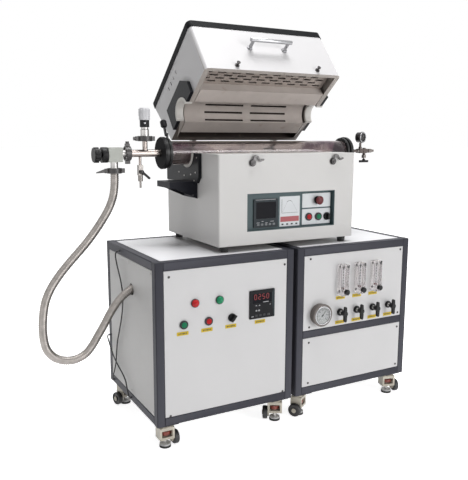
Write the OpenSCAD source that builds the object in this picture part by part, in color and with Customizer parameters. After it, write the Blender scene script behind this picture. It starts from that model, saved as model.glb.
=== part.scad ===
// Split tube furnace with its lid open, standing on two wheeled cabinets side by side.
// The left cabinet holds a vacuum pump, the right one the gas valves and flow meters.
// A quartz process tube lies in the split of the furnace and is sealed by a flange at each end.
// Millimetres. +X to the right, +Y to the rear, +Z up. The frame's origin is on the floor, under
// the middle of the whole set's box. Inside, sizes are laid out in set coordinates: X from the
// left cabinet's left side, Y from the cabinets' front and Z from the floor.

/* [Cabinets] */
// Width of one cabinet
cab_w = 500; // [460:5:620]
// Depth of a cabinet, front to back
cab_d = 470; // [450:5:560]
// Height of a cabinet's frame without its casters
cab_h = 525; // [500:5:640]
// Clear space between the two cabinets
cab_gap = 16; // [12:1:60]
// Side of a frame's square tube
tube_t = 28; // [24:1:34]
// Wall of a frame's square tube
tube_wall = 3; // [2:0.5:5]
// Thickness of the cabinets' sheet panels
panel_t = 3; // [2:0.5:5]
// Depth by which front and side panels sit behind the frame's face
panel_inset = 1; // [0.5:0.5:3]
// Height of the right cabinet's middle rail below its top, at the rail's centre
mid_rail_drop = 306; // [290:2:340]

/* [Casters] */
// Height of a caster, floor to frame
caster_h = 87; // [80:1:110]
// Distance of a caster's swivel axis from the cabinet's sides
caster_inset = 42; // [42:1:60]
// Side of the square plate that a caster is bolted to
caster_plate = 72; // [60:1:80]
// Thickness of that plate
caster_plate_t = 4; // [3:0.5:6]
// Radius of a caster's wheel
wheel_r = 23; // [18:0.5:25]
// Width of a caster's wheel
wheel_w = 17; // [12:0.5:18]
// Height of the wheels above the floor while the pads carry the load
wheel_lift = 3; // [2:0.5:6]
// Radius of a caster's levelling pad
pad_r = 19; // [15:0.5:21]
// Radius of the thumb wheel that lowers the pad
thumb_r = 17; // [14:0.5:18]

/* [Furnace] */
// Width of the furnace
furn_w = 545; // [500:5:620]
// Depth of the furnace
furn_d = 410; // [390:5:440]
// Height of the furnace's lower body, without its feet
furn_h = 298; // [280:2:340]
// Distance of the furnace's left side from the left cabinet's left side
furn_x = 240; // [210:2:260]
// Distance of the furnace's front behind the cabinets' front
furn_y = 50; // [30:2:60]
// Distance of the tube's axis behind the furnace's front
axis_back = 210; // [190:5:220]
// Height of the furnace's feet
foot_h = 20; // [12:1:30]
// Radius of a foot
foot_r = 15; // [10:1:20]
// Thickness of the furnace's sheet steel
sheet_t = 2; // [1.5:0.5:3]

/* [Lid] */
// Height of the closed lid above its mouth
lid_h = 215; // [195:2:235]
// Gap between the closed lid's mouth and the body
lid_gap = 2; // [1:0.5:4]
// Angle at which the lid stands open
lid_open = 39.5; // [20:0.5:60]
// Height of the black cover's skirt
cover_h = 26; // [20:1:40]
// Radius of the lid's two front corners, seen from above
lid_corner_r = 16; // [8:1:40]
// Distance by which the lid's rear wall leans in at its mouth
lid_lean = 42; // [20:2:50]
// Distance of the hinge axis behind the furnace's rear wall
hinge_back = 14; // [12:0.5:18]
// Height of the hinge axis above the split
hinge_up = 9; // [9:0.5:14]
// Radius of a hinge pin
hinge_pin_r = 4; // [3:0.25:5]
// Distance of each hinge's middle from the furnace's side
hinge_inset = 95; // [60:5:140]

/* [Heater and process tube] */
// Outer radius of the process tube
tube_r = 40; // [25:1:42]
// Wall of the process tube
tube_glass = 3; // [2:0.5:4]
// Distance that the process tube stands out of the furnace on the left
tube_out_l = 101; // [91:2:131]
// Distance that the process tube stands out of the furnace on the right
tube_out_r = 115; // [105:2:131]
// Width of the heater block, front to back
heater_w = 220; // [200:2:230]
// Height of each half of the heater block
heater_h = 120; // [100:2:140]
// Radius of the heated chamber
chamber_r = 52; // [50:1:56]
// Width of a heater groove
groove_w = 7; // [4:0.5:9]
// Depth of a heater groove
groove_deep = 9; // [5:0.5:12]
// Length of one row of heater grooves
groove_len = 156; // [100:2:180]
// Angle between neighbouring rows of heater grooves
groove_step = 31; // [28:0.5:32]
// Thickness of the ceramic half rings round the tube
collar_t = 9; // [8:0.5:12]
// Distance that the half rings stand out of the furnace's side
collar_out = 15; // [8:1:25]

/* [Flanges and vacuum line] */
// Radius of a tube flange
flange_r = 54; // [52:1:60]
// Thickness of a flange's cap
flange_t = 26; // [24:1:34]
// Outer radius of the vacuum pipe
pipe_r = 12.5; // [10:0.5:14]
// Bore radius of the vacuum pipe
pipe_bore_r = 10.5; // [8:0.5:11]
// Radius of the small-flange couplings
kf_r = 20; // [18:0.5:20.5]
// Outer radius of the coupling clamps
clamp_r = 24; // [23:0.5:27]
// Length of the vacuum pipe between the tube flange and the first coupling
line_len = 115; // [105:2:131]
// Width and height of the angle valve's body
valve_side = 47; // [42:1:52]
// Radius of the angle valve's hand knob
valve_knob_r = 25; // [18:0.5:26]
// Radius of the vacuum hose
hose_r = 14; // [10:0.5:14]
// Radius of the hole that the hose passes through
hose_hole_r = 20; // [19:0.5:26]
// Radius of the thin cables
cable_r = 2.5; // [1.5:0.25:3]

/* [Panels and controls] */
// Side of a panel meter's square face
meter_side = 96; // [90:1:100]
// Distance that a panel meter stands out of its panel
meter_proud = 4; // [2:0.5:8]
// Depth of a panel meter behind its panel
meter_depth = 60; // [40:5:80]
// Outer radius of a push button's ring
bezel_r = 14; // [12:0.5:16]
// Radius of a push button's barrel
barrel_r = 11; // [10.5:0.25:11.5]
// Radius of a push button's cap
cap_r = 8.6; // [7:0.1:9]
// Travel of a push button
press = 3; // [2:0.5:4]
// Width of the control recess in the furnace's front
recess_w = 356; // [340:2:400]
// Height of the control recess
recess_h = 125; // [115:1:140]
// Depth of the control recess
recess_d = 18; // [12:1:25]
// Distance between neighbouring gas lines
line_pitch = 74.5; // [60:0.5:80]
// Radius of the pressure gauge on the gas cabinet
panel_gauge_r = 40; // [34:1:44]
// Radius of the pressure gauge at the gas inlet
gauge_r = 22; // [18:0.5:24]
// Length of a gas valve's handle
handle_len = 46; // [36:1:56]

/* [Fits] */
// Clearance between pieces that stay clear of each other
fit = 0.3; // [0.2:0.05:0.5]
// Radial clearance of a shaft in its bore
run = 0.06; // [0.03:0.01:0.1]
// Gap between neighbouring pieces that butt together
butt = 0.1; // [0.05:0.05:0.2]

/* [Hidden] */
$fn = 48;

// Stations of the cabinets
cab_z = caster_h;
cab_top = cab_z + cab_h;
right_x = cab_w + cab_gap;
bay_w = cab_w - 2 * tube_t;

// Stations of the furnace. The split between body and lid is also the height of the tube's axis.
furn_z = cab_top + foot_h;
split_z = furn_z + furn_h;
furn_rear = furn_y + furn_d;
furn_right = furn_x + furn_w;
axis_y = furn_y + axis_back;
foot_inset = 32;
foot_set_back = 24;

// Stations of the lid, closed
mouth_z = split_z + lid_gap;
lid_top = mouth_z + lid_h;
skirt_z = lid_top - cover_h;
cover_over = 2;
hinge_y = furn_rear + hinge_back;
hinge_z = split_z + hinge_up;

// Stations along the process tube
tube_x0 = furn_x - tube_out_l;
tube_x1 = furn_right + tube_out_r;
seat_deep = 16;
flange_l = tube_x0 + seat_deep - flange_t;
flange_rt = tube_x1 - seat_deep + flange_t;
tube_bore_r = tube_r - tube_glass;

// Stations along the vacuum line, which runs left from the left flange
kf_t = 4;
line_x = flange_l - line_len;
valve_x1 = line_x - 2 * kf_t - 14;
valve_x0 = valve_x1 - valve_side;
bonnet_len = 19;
bonnet_r = 25;
bonnet_drop = 4;
valve_deep = 40;
knob_gap = 5;
valve_knob_len = 21;
valve_knob_x = valve_x0 - bonnet_len - knob_gap - valve_knob_len;
valve_mid_x = (valve_x0 + valve_x1) / 2;
valve_top = split_z + 20;
valve_low = valve_top - valve_side;
outlet_len = 28;
hose_top = valve_low - outlet_len - kf_t - 3;
sensor_x = flange_l - 54;
sensor_port = 48;
drain_x = sensor_x - 18;
drain_z = split_z - 38;

// Stations of the gas inlet at the right flange
inlet_x = flange_rt + 74;
inlet_valve_x = inlet_x + 20;
inlet_end = inlet_x + 67;
inlet_gauge_up = 53;
inlet_gauge_turn = 17;
inlet_gauge_deep = 24;
inlet_pipe_r = 6;
nozzle_r = 5;

// Box of the whole set, which places the origin
meter_d = 28;
knob_len = 14;
front_y = panel_inset - meter_d - fit - knob_len;
lid_rear = furn_rear - 3;
open_rear_y = hinge_y + (lid_rear + cover_over - hinge_y) * cos(lid_open)
    + (lid_top - hinge_z) * sin(lid_open);
set_x = -(valve_knob_x + inlet_end) / 2;
set_y = -(open_rear_y + front_y) / 2;

// Controls on the left cabinet's panel: X, and drop below the cabinet's top
lamp_at = [[132, 138.5], [218, 138.5]];
pump_start_at = [93, 203];
pump_stop_at = [179, 203];
pump_selector_at = [263, 203];
display_at = [375.5, 171];

// Recess and controls on the furnace's front: X from the furnace's side, Z above its bottom
recess_x = 106;
recess_z = 44;
wall_t = 2;
controller_at = [187, 100];
card_at = [243, 50];
plate_x = 335;
plate_w = 120;
plate_low_z = 51;
plate_low_h = 54;
plate_high_z = 110;
plate_high_h = 49;
switch_plate_t = 2;
heat_stop_at = [362, 78];
heat_start_at = [403, 77];
power_selector_at = [440, 76];
emergency_at = [398, 135];
tray_y = furn_y + recess_d;

// Gas lines on the right cabinet: X from its side, and drop below its top
first_line_x = 186;
meter_w = 30;
flow_meter_h = 112;
flow_meter_top = 67;
flow_knob_drop = 163;
valve_drop = 243;
gauge_at = [94, 238];
panel_gauge_deep = 25;
lines = 4;

// Levelling caster
caster_turn = [0, 150, 195, 15, 215, 345, 180, 20];
swivel_pin_r = 6;
swivel_pin_len = 12;
head_z = 70;
head_r = 23;
arch_w = 50;
arch_d = 40;
arch_z = 30;
cheek_t = 6;
window_z = 38;
window_h = 22;
axle_r = 5;
thumb_z = 43;
thumb_h = 12;
pad_t = 7;
foot_cup_t = 5;
wheel_z = wheel_r + wheel_lift;
wheel_x = arch_w / 2 + 0.5;

// Latches on the furnace's front: X from its side, drop below the split
latch_x = [123, 448];
latch_drop = 28;
latch_r = 12;

function caster_xy(i) = [
    (i >= 4 ? right_x : 0) + (i % 2 == 0 ? caster_inset : cab_w - caster_inset),
    i % 4 < 2 ? caster_inset : cab_d - caster_inset];

// Route of the vacuum hose, from the angle valve's outlet to the pump's inlet
hose_route = [
    [valve_mid_x, axis_y, hose_top], [-32, 260, 841], [-35, 259, 812], [-42, 257, 784], [-56, 255, 753],
    [-77, 253, 720], [-103, 251, 685], [-133, 249, 649], [-166, 247, 615], [-199, 246, 581],
    [-229, 244, 547], [-255, 242, 511], [-273, 240, 473], [-282, 238, 433], [-286, 237, 392],
    [-285, 235, 352], [-277, 234, 317], [-256, 233, 289], [-224, 232, 273], [-189, 231, 271],
    [-156, 229, 285], [-133, 228, 310], [-113, 226, 342], [-93, 224, 374], [-73, 222, 410],
    [-51, 220, 442], [-25, 218, 469], [6, 216, 489], [42, 214, 498], [79, 214, 493],
    [112, 214, 476], [136, 214, 448], [149, 214, 414], [152, 214, 384]];
// Route of the cable from the upper left rail to the lower left rail
sensor_cable_route = [
    [0, 322, 598], [-9, 322, 598], [-15, 321, 592], [-17, 319, 580], [-16, 310, 556],
    [-14, 300, 532], [-11, 291, 506], [-8, 285, 474], [-7, 283, 436], [-7, 291, 396],
    [-7, 310, 350], [-7, 334, 304], [-7, 353, 268], [-7, 366, 226], [-7, 376, 184],
    [-8, 392, 148], [-9, 410, 118], [-7, 418, 105], [0, 420, 101]];
// Route of the cable from the rear post to the lower left rail
thermocouple_cable_route = [
    [0, 456, 262], [-8, 456, 262], [-13, 449, 258], [-14, 436, 249], [-15, 412, 231],
    [-15, 385, 211], [-14, 358, 195], [-12, 327, 180], [-10, 296, 166], [-9, 270, 150],
    [-10, 252, 128], [-10, 241, 108], [-7, 237, 102], [0, 236, 101]];
hose_sides = 10;
cable_sides = 8;
hose_y = 215;
hose_z = 486;

// ---- Shared shapes ----

// Moves set coordinates to the frame's origin
module in_set() {
    translate([set_x, set_y, 0]) children();
}

// Turns a piece drawn on the closed lid to the lid's open place
module on_lid() {
    translate([0, hinge_y, hinge_z])
        rotate([-lid_open, 0, 0])
        translate([0, -hinge_y, -hinge_z])
        children();
}

// A sheet in the XZ plane from y to y + t, its outline drawn as X and Z
module wall_xz(y, t) {
    translate([0, y + t, 0]) rotate([90, 0, 0]) linear_extrude(t) children();
}

// A sheet in the YZ plane from x to x + t, its outline drawn as Y and Z
module wall_yz(x, t) {
    translate([x, 0, 0]) rotate([90, 0, 90]) linear_extrude(t) children();
}

// Round bars along X and Y, from one station to another
module rod_x(r, x0, x1) {
    translate([x0, 0, 0]) rotate([0, 90, 0]) cylinder(r = r, h = x1 - x0);
}

module rod_y(r, y0, y1) {
    translate([0, y1, 0]) rotate([90, 0, 0]) cylinder(r = r, h = y1 - y0);
}

module rod_z(r, z0, z1) {
    translate([0, 0, z0]) cylinder(r = r, h = z1 - z0);
}

// Rectangle with round corners, from its lower left corner
module round_rect(w, h, r) {
    translate([r, 0]) square([w - 2 * r, h]);
    translate([0, r]) square([w, h - 2 * r]);
    for (x = [r, w - r], y = [r, h - r]) translate([x, y]) circle(r);
}

// Flat bar between two points, with round ends
module flat_bar(p, q, w) {
    d = q - p;
    translate(p) circle(w / 2);
    translate(q) circle(w / 2);
    translate(p) rotate(atan2(d.y, d.x)) translate([0, -0.48 * w]) square([norm(d), 0.96 * w]);
}

module flat_path(points, w) {
    for (i = [0 : len(points) - 2]) flat_bar(points[i], points[i + 1], w);
}

// Tube swept along a route of points, with each ring square to the route
function unit(v) = v / norm(v);
function along(route, i) = unit(route[min(i + 1, len(route) - 1)] - route[max(i - 1, 0)]);
function end_dir(route, i, first, last) =
    i == 0 ? first : i == len(route) - 1 ? last : along(route, i);
function ring(route, i, r, n, first, last) = let (
    t = end_dir(route, i, first, last),
    u = unit(cross(t, [0, 1, 0.001])),
    v = cross(t, u))
    [for (k = [0 : n - 1]) route[i] + r * (u * cos(360 * k / n) + v * sin(360 * k / n))];

module swept_tube(route, r, n, first, last) {
    count = len(route);
    rings = [for (i = [0 : count - 1]) ring(route, i, r, n, first, last)];
    points = [for (ring_points = rings) each ring_points];
    sides = [for (i = [0 : count - 2], k = [0 : n - 1])
        let (a = i * n + k, b = i * n + (k + 1) % n) each [[a, b, b + n], [a, b + n, a + n]]];
    start = [for (k = [n - 1 : -1 : 0]) k];
    end = [for (k = [0 : n - 1]) (count - 1) * n + k];
    polyhedron(points = points, faces = concat(sides, [start, end]));
}

// ---- Cabinets ----

// Square tube standing on Z, closed at its top
module post() {
    difference() {
        linear_extrude(cab_h) round_rect(tube_t, tube_t, tube_wall);
        translate([tube_wall, tube_wall, -tube_wall])
            cube([tube_t - 2 * tube_wall, tube_t - 2 * tube_wall, cab_h]);
    }
}

// Square tubes lying along X and Y, from their lower corner
module rail_x(length) {
    wall_yz(0, length) difference() {
        round_rect(tube_t, tube_t, tube_wall);
        translate([tube_wall, tube_wall]) square(tube_t - 2 * tube_wall);
    }
}

module rail_y(length) {
    wall_xz(0, length) difference() {
        round_rect(tube_t, tube_t, tube_wall);
        translate([tube_wall, tube_wall]) square(tube_t - 2 * tube_wall);
    }
}

module cabinet_frame(x) {
    inner_d = cab_d - 2 * tube_t;
    for (px = [0, cab_w - tube_t], py = [0, cab_d - tube_t])
        translate([x + px, py, cab_z]) post();
    for (py = [0, cab_d - tube_t], pz = [cab_z, cab_top - tube_t])
        translate([x + tube_t + butt, py, pz]) rail_x(bay_w - 2 * butt);
    for (px = [0, cab_w - tube_t], pz = [cab_z, cab_top - tube_t])
        translate([x + px, tube_t + butt, pz]) rail_y(inner_d - 2 * butt);
}

module caster_mount_plate() {
    top = cab_z - butt;
    translate([-caster_plate / 2, -caster_plate / 2, top - caster_plate_t])
        linear_extrude(caster_plate_t) round_rect(caster_plate, caster_plate, 2 * tube_wall);
    rod_z(swivel_pin_r, top - caster_plate_t - swivel_pin_len, top - caster_plate_t);
}

module cabinet_frames() {
    color([0.22, 0.24, 0.28]) in_set() {
        cabinet_frame(0);
        cabinet_frame(right_x);
        translate([right_x + tube_t + butt, 0, cab_top - mid_rail_drop - tube_t / 2])
            rail_x(bay_w - 2 * butt);
        for (i = [0 : 7]) translate(caster_xy(i)) caster_mount_plate();
    }
}

// The plain sheets of one cabinet: top, two sides, back and base
module cabinet_cladding(x, hose_hole) {
    w = bay_w - 2 * fit;
    d = cab_d - 2 * tube_t - 2 * fit;
    h = cab_h - 2 * tube_t - 2 * fit;
    x0 = x + tube_t + fit;
    y0 = tube_t + fit;
    z0 = cab_z + tube_t + fit;
    for (z = [cab_top - panel_t, cab_z + tube_t - panel_t])
        translate([x0, y0, z]) cube([w, d, panel_t]);
    for (side_x = [x + panel_inset, x + cab_w - panel_inset - panel_t])
        difference() {
            translate([side_x, y0, z0]) cube([panel_t, d, h]);
            if (hose_hole && side_x < cab_w / 2)
                translate([0, hose_y, hose_z]) rod_x(hose_hole_r, side_x - 1, side_x + panel_t + 1);
        }
    translate([x0, cab_d - panel_inset - panel_t, z0]) cube([w, panel_t, h]);
}

module cabinet_panels() {
    color([0.82, 0.81, 0.8]) in_set() {
        cabinet_cladding(0, true);
        cabinet_cladding(right_x, false);
    }
}

// ---- Front panels ----

module left_front_panel() {
    x0 = tube_t + fit;
    z0 = cab_z + tube_t + fit;
    wall_xz(panel_inset, panel_t) difference() {
        translate([x0, z0]) square([bay_w - 2 * fit, cab_h - 2 * tube_t - 2 * fit]);
        for (p = concat(lamp_at, [pump_start_at, pump_stop_at, pump_selector_at]))
            translate([p.x, cab_top - p.y]) circle(barrel_r + fit);
        translate([display_at.x, cab_top - display_at.y])
            square(meter_side - 4 + 2 * fit, center = true);
    }
}

module right_front_panels() {
    x0 = right_x + tube_t + fit;
    w = bay_w - 2 * fit;
    rail_z = cab_top - mid_rail_drop;
    upper_z = rail_z + tube_t / 2 + fit;
    lower_z = cab_z + tube_t + fit;
    wall_xz(panel_inset, panel_t) {
        difference() {
            translate([x0, upper_z]) square([w, cab_top - tube_t - fit - upper_z]);
            for (i = [0 : lines - 1])
                translate([right_x + first_line_x + i * line_pitch, cab_top - valve_drop])
                    circle(stem_r + 2 + fit);
            for (i = [0 : lines - 2], drop = port_drops)
                translate([right_x + first_line_x + i * line_pitch, cab_top - drop])
                    circle(port_r + fit);
            translate([right_x + gauge_at.x, cab_top - gauge_at.y]) circle(port_r + fit);
        }
        translate([x0, lower_z]) square([w, rail_z - tube_t / 2 - fit - lower_z]);
    }
}

// Shallow tray that lines the control recess, with the two pale switch plates on it
module control_tray() {
    x0 = furn_x + recess_x + fit;
    z0 = furn_z + recess_z + fit;
    w = recess_w - 2 * fit;
    h = recess_h - 2 * fit;
    difference() {
        translate([x0, furn_y, z0]) cube([w, recess_d + wall_t, h]);
        translate([x0 + wall_t, furn_y - 1, z0 + wall_t])
            cube([w - 2 * wall_t, recess_d + 1, h - 2 * wall_t]);
        translate([furn_x + controller_at.x, 0, furn_z + controller_at.y])
            wall_xz(tray_y - 1, wall_t + 2) square(meter_side - 4 + 2 * fit, center = true);
        for (p = [heat_stop_at, heat_start_at, power_selector_at, emergency_at])
            translate([furn_x + p.x, 0, furn_z + p.y]) rod_y(barrel_r + fit, tray_y - 1,
                tray_y + wall_t + 1);
    }
}

module switch_plate(z, h, holes) {
    wall_xz(tray_y - switch_plate_t - butt, switch_plate_t) difference() {
        translate([furn_x + plate_x, furn_z + z]) round_rect(plate_w, h, 2);
        for (p = holes) translate([furn_x + p.x, furn_z + p.y]) circle(barrel_r + fit);
    }
}

module front_panels() {
    in_set() {
        color([0.82, 0.81, 0.8]) {
            left_front_panel();
            right_front_panels();
        }
        color([0.3, 0.36, 0.38]) control_tray();
        color([0.88, 0.89, 0.9]) {
            wall_xz(tray_y - 1 - butt, 1)
                translate([furn_x + card_at.x, furn_z + card_at.y]) square([82, 103]);
            switch_plate(plate_low_z, plate_low_h,
                [heat_stop_at, heat_start_at, power_selector_at]);
            switch_plate(plate_high_z, plate_high_h, [emergency_at]);
        }
    }
}

// Square meter with a sunk screen over a row of keys, its face towards -Y at y = 0
module panel_meter(screen_w, screen_h, screen_up, keys) {
    side = meter_side;
    key_w = 9;
    key_h = 7;
    body_y = meter_depth + meter_proud;
    difference() {
        union() {
            wall_xz(-meter_proud, meter_proud - butt)
                translate([-side / 2, -side / 2]) round_rect(side, side, 3);
            translate([-(side - 4) / 2, -butt, -(side - 4) / 2]) cube([side - 4, body_y, side - 4]);
        }
        translate([-screen_w / 2, -meter_proud - 1, screen_up - screen_h / 2])
            cube([screen_w, 2, screen_h]);
    }
    for (i = [0 : keys - 1])
        wall_xz(-meter_proud - butt - 1, 1)
            translate([(i - (keys - 1) / 2) * 1.7 * key_w - key_w / 2, -side / 2 + key_h])
            round_rect(key_w, key_h, 1.5);
}

module panel_meters() {
    color([0.1, 0.1, 0.12]) in_set() {
        translate([display_at.x, panel_inset, cab_top - display_at.y])
            panel_meter(74, 32, 20, 4);
        translate([furn_x + controller_at.x, tray_y, furn_z + controller_at.y])
            panel_meter(78, 56, 10, 5);
    }
}

// Ring and barrel of a panel button, open for its cap; its ring's back at y = 0
module button_barrel() {
    difference() {
        union() {
            rod_y(bezel_r, -bezel_proud, 0);
            rod_y(barrel_r, 0, barrel_len);
        }
        rod_y(cap_r + fit, -bezel_proud - 1, barrel_len - 6);
    }
}

module pilot_lamp() {
    rod_y(bezel_r, -bezel_proud, 0);
    rod_y(barrel_r, 0, barrel_len);
    translate([0, -bezel_proud - butt, 0]) rotate([90, 0, 0])
        rotate_extrude() intersection() {
            translate([0, -2]) circle(bezel_r - 1.5);
            square([bezel_r, bezel_r]);
        }
}

bezel_proud = 4;
barrel_len = 36;

module lamps_and_bezels() {
    color([0.2, 0.2, 0.22]) in_set() {
        for (p = lamp_at) translate([p.x, panel_inset - butt, cab_top - p.y]) pilot_lamp();
        for (p = [pump_start_at, pump_stop_at, pump_selector_at])
            translate([p.x, panel_inset - butt, cab_top - p.y]) button_barrel();
        for (p = [heat_stop_at, heat_start_at, power_selector_at, emergency_at])
            translate([furn_x + p.x, tray_y - switch_plate_t - 2 * butt, furn_z + p.y])
                button_barrel();
    }
}

// Cap of a push button, with its guide in the barrel; y = 0 at the ring's back
module button_cap() {
    rod_y(cap_r, -bezel_proud - 2, barrel_len - 10 - press - 2);
}

module on_left_panel(p) {
    translate([p.x, panel_inset - butt, cab_top - p.y]) children();
}

module on_tray(p) {
    translate([furn_x + p.x, tray_y - switch_plate_t - 2 * butt, furn_z + p.y]) children();
}

module pump_start_button() {
    color([0.1, 0.55, 0.3]) in_set() on_left_panel(pump_start_at) button_cap();
}

module pump_stop_button() {
    color([0.75, 0.12, 0.1]) in_set() on_left_panel(pump_stop_at) button_cap();
}

module heat_stop_button() {
    color([0.75, 0.12, 0.1]) in_set() on_tray(heat_stop_at) button_cap();
}

module heat_start_button() {
    color([0.1, 0.55, 0.3]) in_set() on_tray(heat_start_at) button_cap();
}

// Mushroom head on a guide
module emergency_stop() {
    head_r = 15;
    color([0.4, 0.05, 0.08]) in_set() on_tray(emergency_at) {
        rod_y(cap_r, -bezel_proud - 8, barrel_len - 10 - press - 2);
        translate([0, -bezel_proud - 8, 0]) rotate([90, 0, 0]) rotate_extrude()
            polygon([[0, 0], [head_r - 3, 0], [head_r, 2], [head_r, 5], [head_r - 3, 8],
                [head_r - 7, 9.5], [0, 10]]);
    }
}

// Rotor of a selector switch with a bar grip, turned about Y
module selector(turn, bar_len, bar_w, bar_h) {
    rod_y(cap_r, -bezel_proud - 2, barrel_len - 10);
    rod_y(bezel_r - 2, -bezel_proud - 3, -bezel_proud - fit);
    rotate([0, turn, 0]) wall_xz(-bezel_proud - 3 - bar_h, bar_h)
        translate([-bar_w / 2, -bar_len / 2]) round_rect(bar_w, bar_len, bar_w / 3);
}

module pump_selector() {
    color([0.08, 0.08, 0.09]) in_set() on_left_panel(pump_selector_at) selector(40, 26, 7, 12);
}

module power_selector() {
    color([0.08, 0.08, 0.09]) in_set() on_tray(power_selector_at) selector(0, 22, 7, 10);
}

// ---- Gas cabinet ----

stem_r = 4;
port_r = 5;
port_drops = [flow_meter_top + 12, flow_meter_top + flow_meter_h - 12];
flow_stub = 12;
knob_shaft_r = 3;

// Clear block with a tapered bore, a float at its foot and a needle valve stub
module flow_meter() {
    top = -flow_meter_top;
    low = top - flow_meter_h;
    difference() {
        union() {
            wall_xz(-meter_d, meter_d - butt)
                translate([-meter_w / 2, low]) round_rect(meter_w, flow_meter_h, 2);
            for (drop = port_drops) translate([0, 0, -drop]) rod_y(port_r, -butt, 24);
        }
        translate([0, -meter_d / 2, low + 22])
            cylinder(r1 = 4, r2 = 5.5, h = flow_meter_h - 34);
    }
    translate([0, 0, -flow_knob_drop])
        rod_y(knob_shaft_r, -meter_d - flow_stub, -meter_d - butt);
    translate([0, -meter_d / 2, low + 22 + butt]) cylinder(r1 = 3.2, r2 = 3.5, h = 7);
}

module flow_meters() {
    color([0.85, 0.9, 0.92, 0.5]) in_set()
        for (i = [0 : lines - 2])
            translate([right_x + first_line_x + i * line_pitch, panel_inset, cab_top])
                flow_meter();
}

// Round gauge with its sunk dial towards -Y and its back at y = 0
dial_sunk = 3;
module gauge_case(r, deep, dial_r) {
    bezel = 7;
    rotate([90, 0, 0]) rotate_extrude() polygon([
        [0, 0], [r - 2, 0], [r - 2, deep - bezel], [r, deep - bezel], [r, deep - 2], [r - 2, deep],
        [dial_r + 2, deep], [dial_r, deep - dial_sunk], [0, deep - dial_sunk]]);
}

// Valve bodies behind the panel, their stems through it, the panel gauge and the steel tubing
valve_body = 30;
module gas_manifold() {
    body = valve_body;
    body_y = panel_inset + panel_t + 4;
    header_z = -valve_drop - 30;
    last_x = first_line_x + (lines - 1) * line_pitch;
    color([0.6, 0.6, 0.62]) in_set() translate([right_x, 0, cab_top]) {
        for (i = [0 : lines - 1]) translate([first_line_x + i * line_pitch, 0, -valve_drop]) {
            translate([-body / 2, body_y, -body / 2]) cube([body, body, body]);
            rod_y(stem_r + 2, panel_inset - 6, body_y);
            rod_y(stem_r, -valve_stem_len, panel_inset);
            translate([0, body_y + body / 2, header_z + valve_drop])
                cylinder(r = port_r, h = -header_z - valve_drop);
            difference() {
                rod_y(bezel_r - 1, panel_inset - 5, panel_inset - butt);
                rod_y(stem_r + 2 + butt, panel_inset - 6, panel_inset);
            }
        }
        translate([0, body_y + body / 2, header_z])
            rod_x(port_r + 1, gauge_at.x - port_r, last_x + port_r);
        translate([gauge_at.x, body_y + body / 2, header_z])
            cylinder(r = port_r - 1, h = -header_z - gauge_at.y + port_r);
        translate([gauge_at.x, 0, -gauge_at.y]) {
            rod_y(port_r - 1, panel_inset - butt, body_y + body / 2);
            translate([0, panel_inset - butt, 0])
                gauge_case(panel_gauge_r, panel_gauge_deep, panel_gauge_r - 10);
        }
    }
}

valve_stem_len = 30;

// Knob of a flow meter's needle valve
module flow_knob(i) {
    y1 = panel_inset - meter_d - fit;
    color([0.06, 0.06, 0.07]) in_set()
        translate([right_x + first_line_x + i * line_pitch, y1, cab_top - flow_knob_drop])
        difference() {
            union() {
                rod_y(9, -knob_len, -3);
                rod_y(6, -3, 0);
            }
            rod_y(knob_shaft_r + run, -flow_stub - fit, 1);
            for (a = [0 : 30 : 330]) rotate([0, a, 0]) translate([9.6, 0, 0]) rod_y(1.2, -knob_len - 1, -4);
        }
}

// Quarter-turn handle of a gas valve: a hub with a tapered lever
module gas_valve_handle(i) {
    hub_y = -valve_stem_len;
    color([0.05, 0.05, 0.06]) in_set()
        translate([right_x + first_line_x + i * line_pitch, 0, cab_top - valve_drop])
        difference() {
            union() {
                rod_y(9, hub_y - 4, hub_y + 14);
                wall_xz(hub_y - 4, 9) {
                    polygon([[-6, 0], [6, 0], [5, -handle_len * 0.55], [-5, -handle_len * 0.55]]);
                    polygon([[-6, 0], [6, 0], [4.5, handle_len * 0.45], [-4.5, handle_len * 0.45]]);
                    translate([0, -handle_len * 0.55]) circle(5);
                    translate([0, handle_len * 0.45]) circle(4.5);
                }
            }
            rod_y(stem_r + run, hub_y - fit, hub_y + 15);
        }
}

// ---- Furnace body ----

// Box outline with round front corners, seen from above
module plan(x0, x1, y0, y1, r) {
    translate([x0 + r, y0]) square([x1 - x0 - 2 * r, y1 - y0]);
    translate([x0, y0 + r]) square([x1 - x0, y1 - y0 - r]);
    for (x = [x0 + r, x1 - r]) translate([x, y0 + r]) circle(r);
}

module body_box(inset, z0, z1, r) {
    translate([0, 0, z0]) linear_extrude(z1 - z0)
        plan(furn_x + inset, furn_right - inset, furn_y + inset, furn_rear - inset, r);
}

collar_r = tube_r + fit + collar_t;

module tube_notch() {
    translate([0, axis_y, split_z]) rod_x(collar_r + fit, furn_x - 1, furn_right + 1);
}

module furnace_feet() {
    for (x = [furn_x + foot_inset, furn_right - foot_inset],
         y = [furn_y + foot_set_back, furn_rear - foot_set_back])
        translate([x, y, cab_top]) {
            cylinder(r1 = foot_r - 2, r2 = foot_r, h = foot_h - butt);
        }
}

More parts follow.
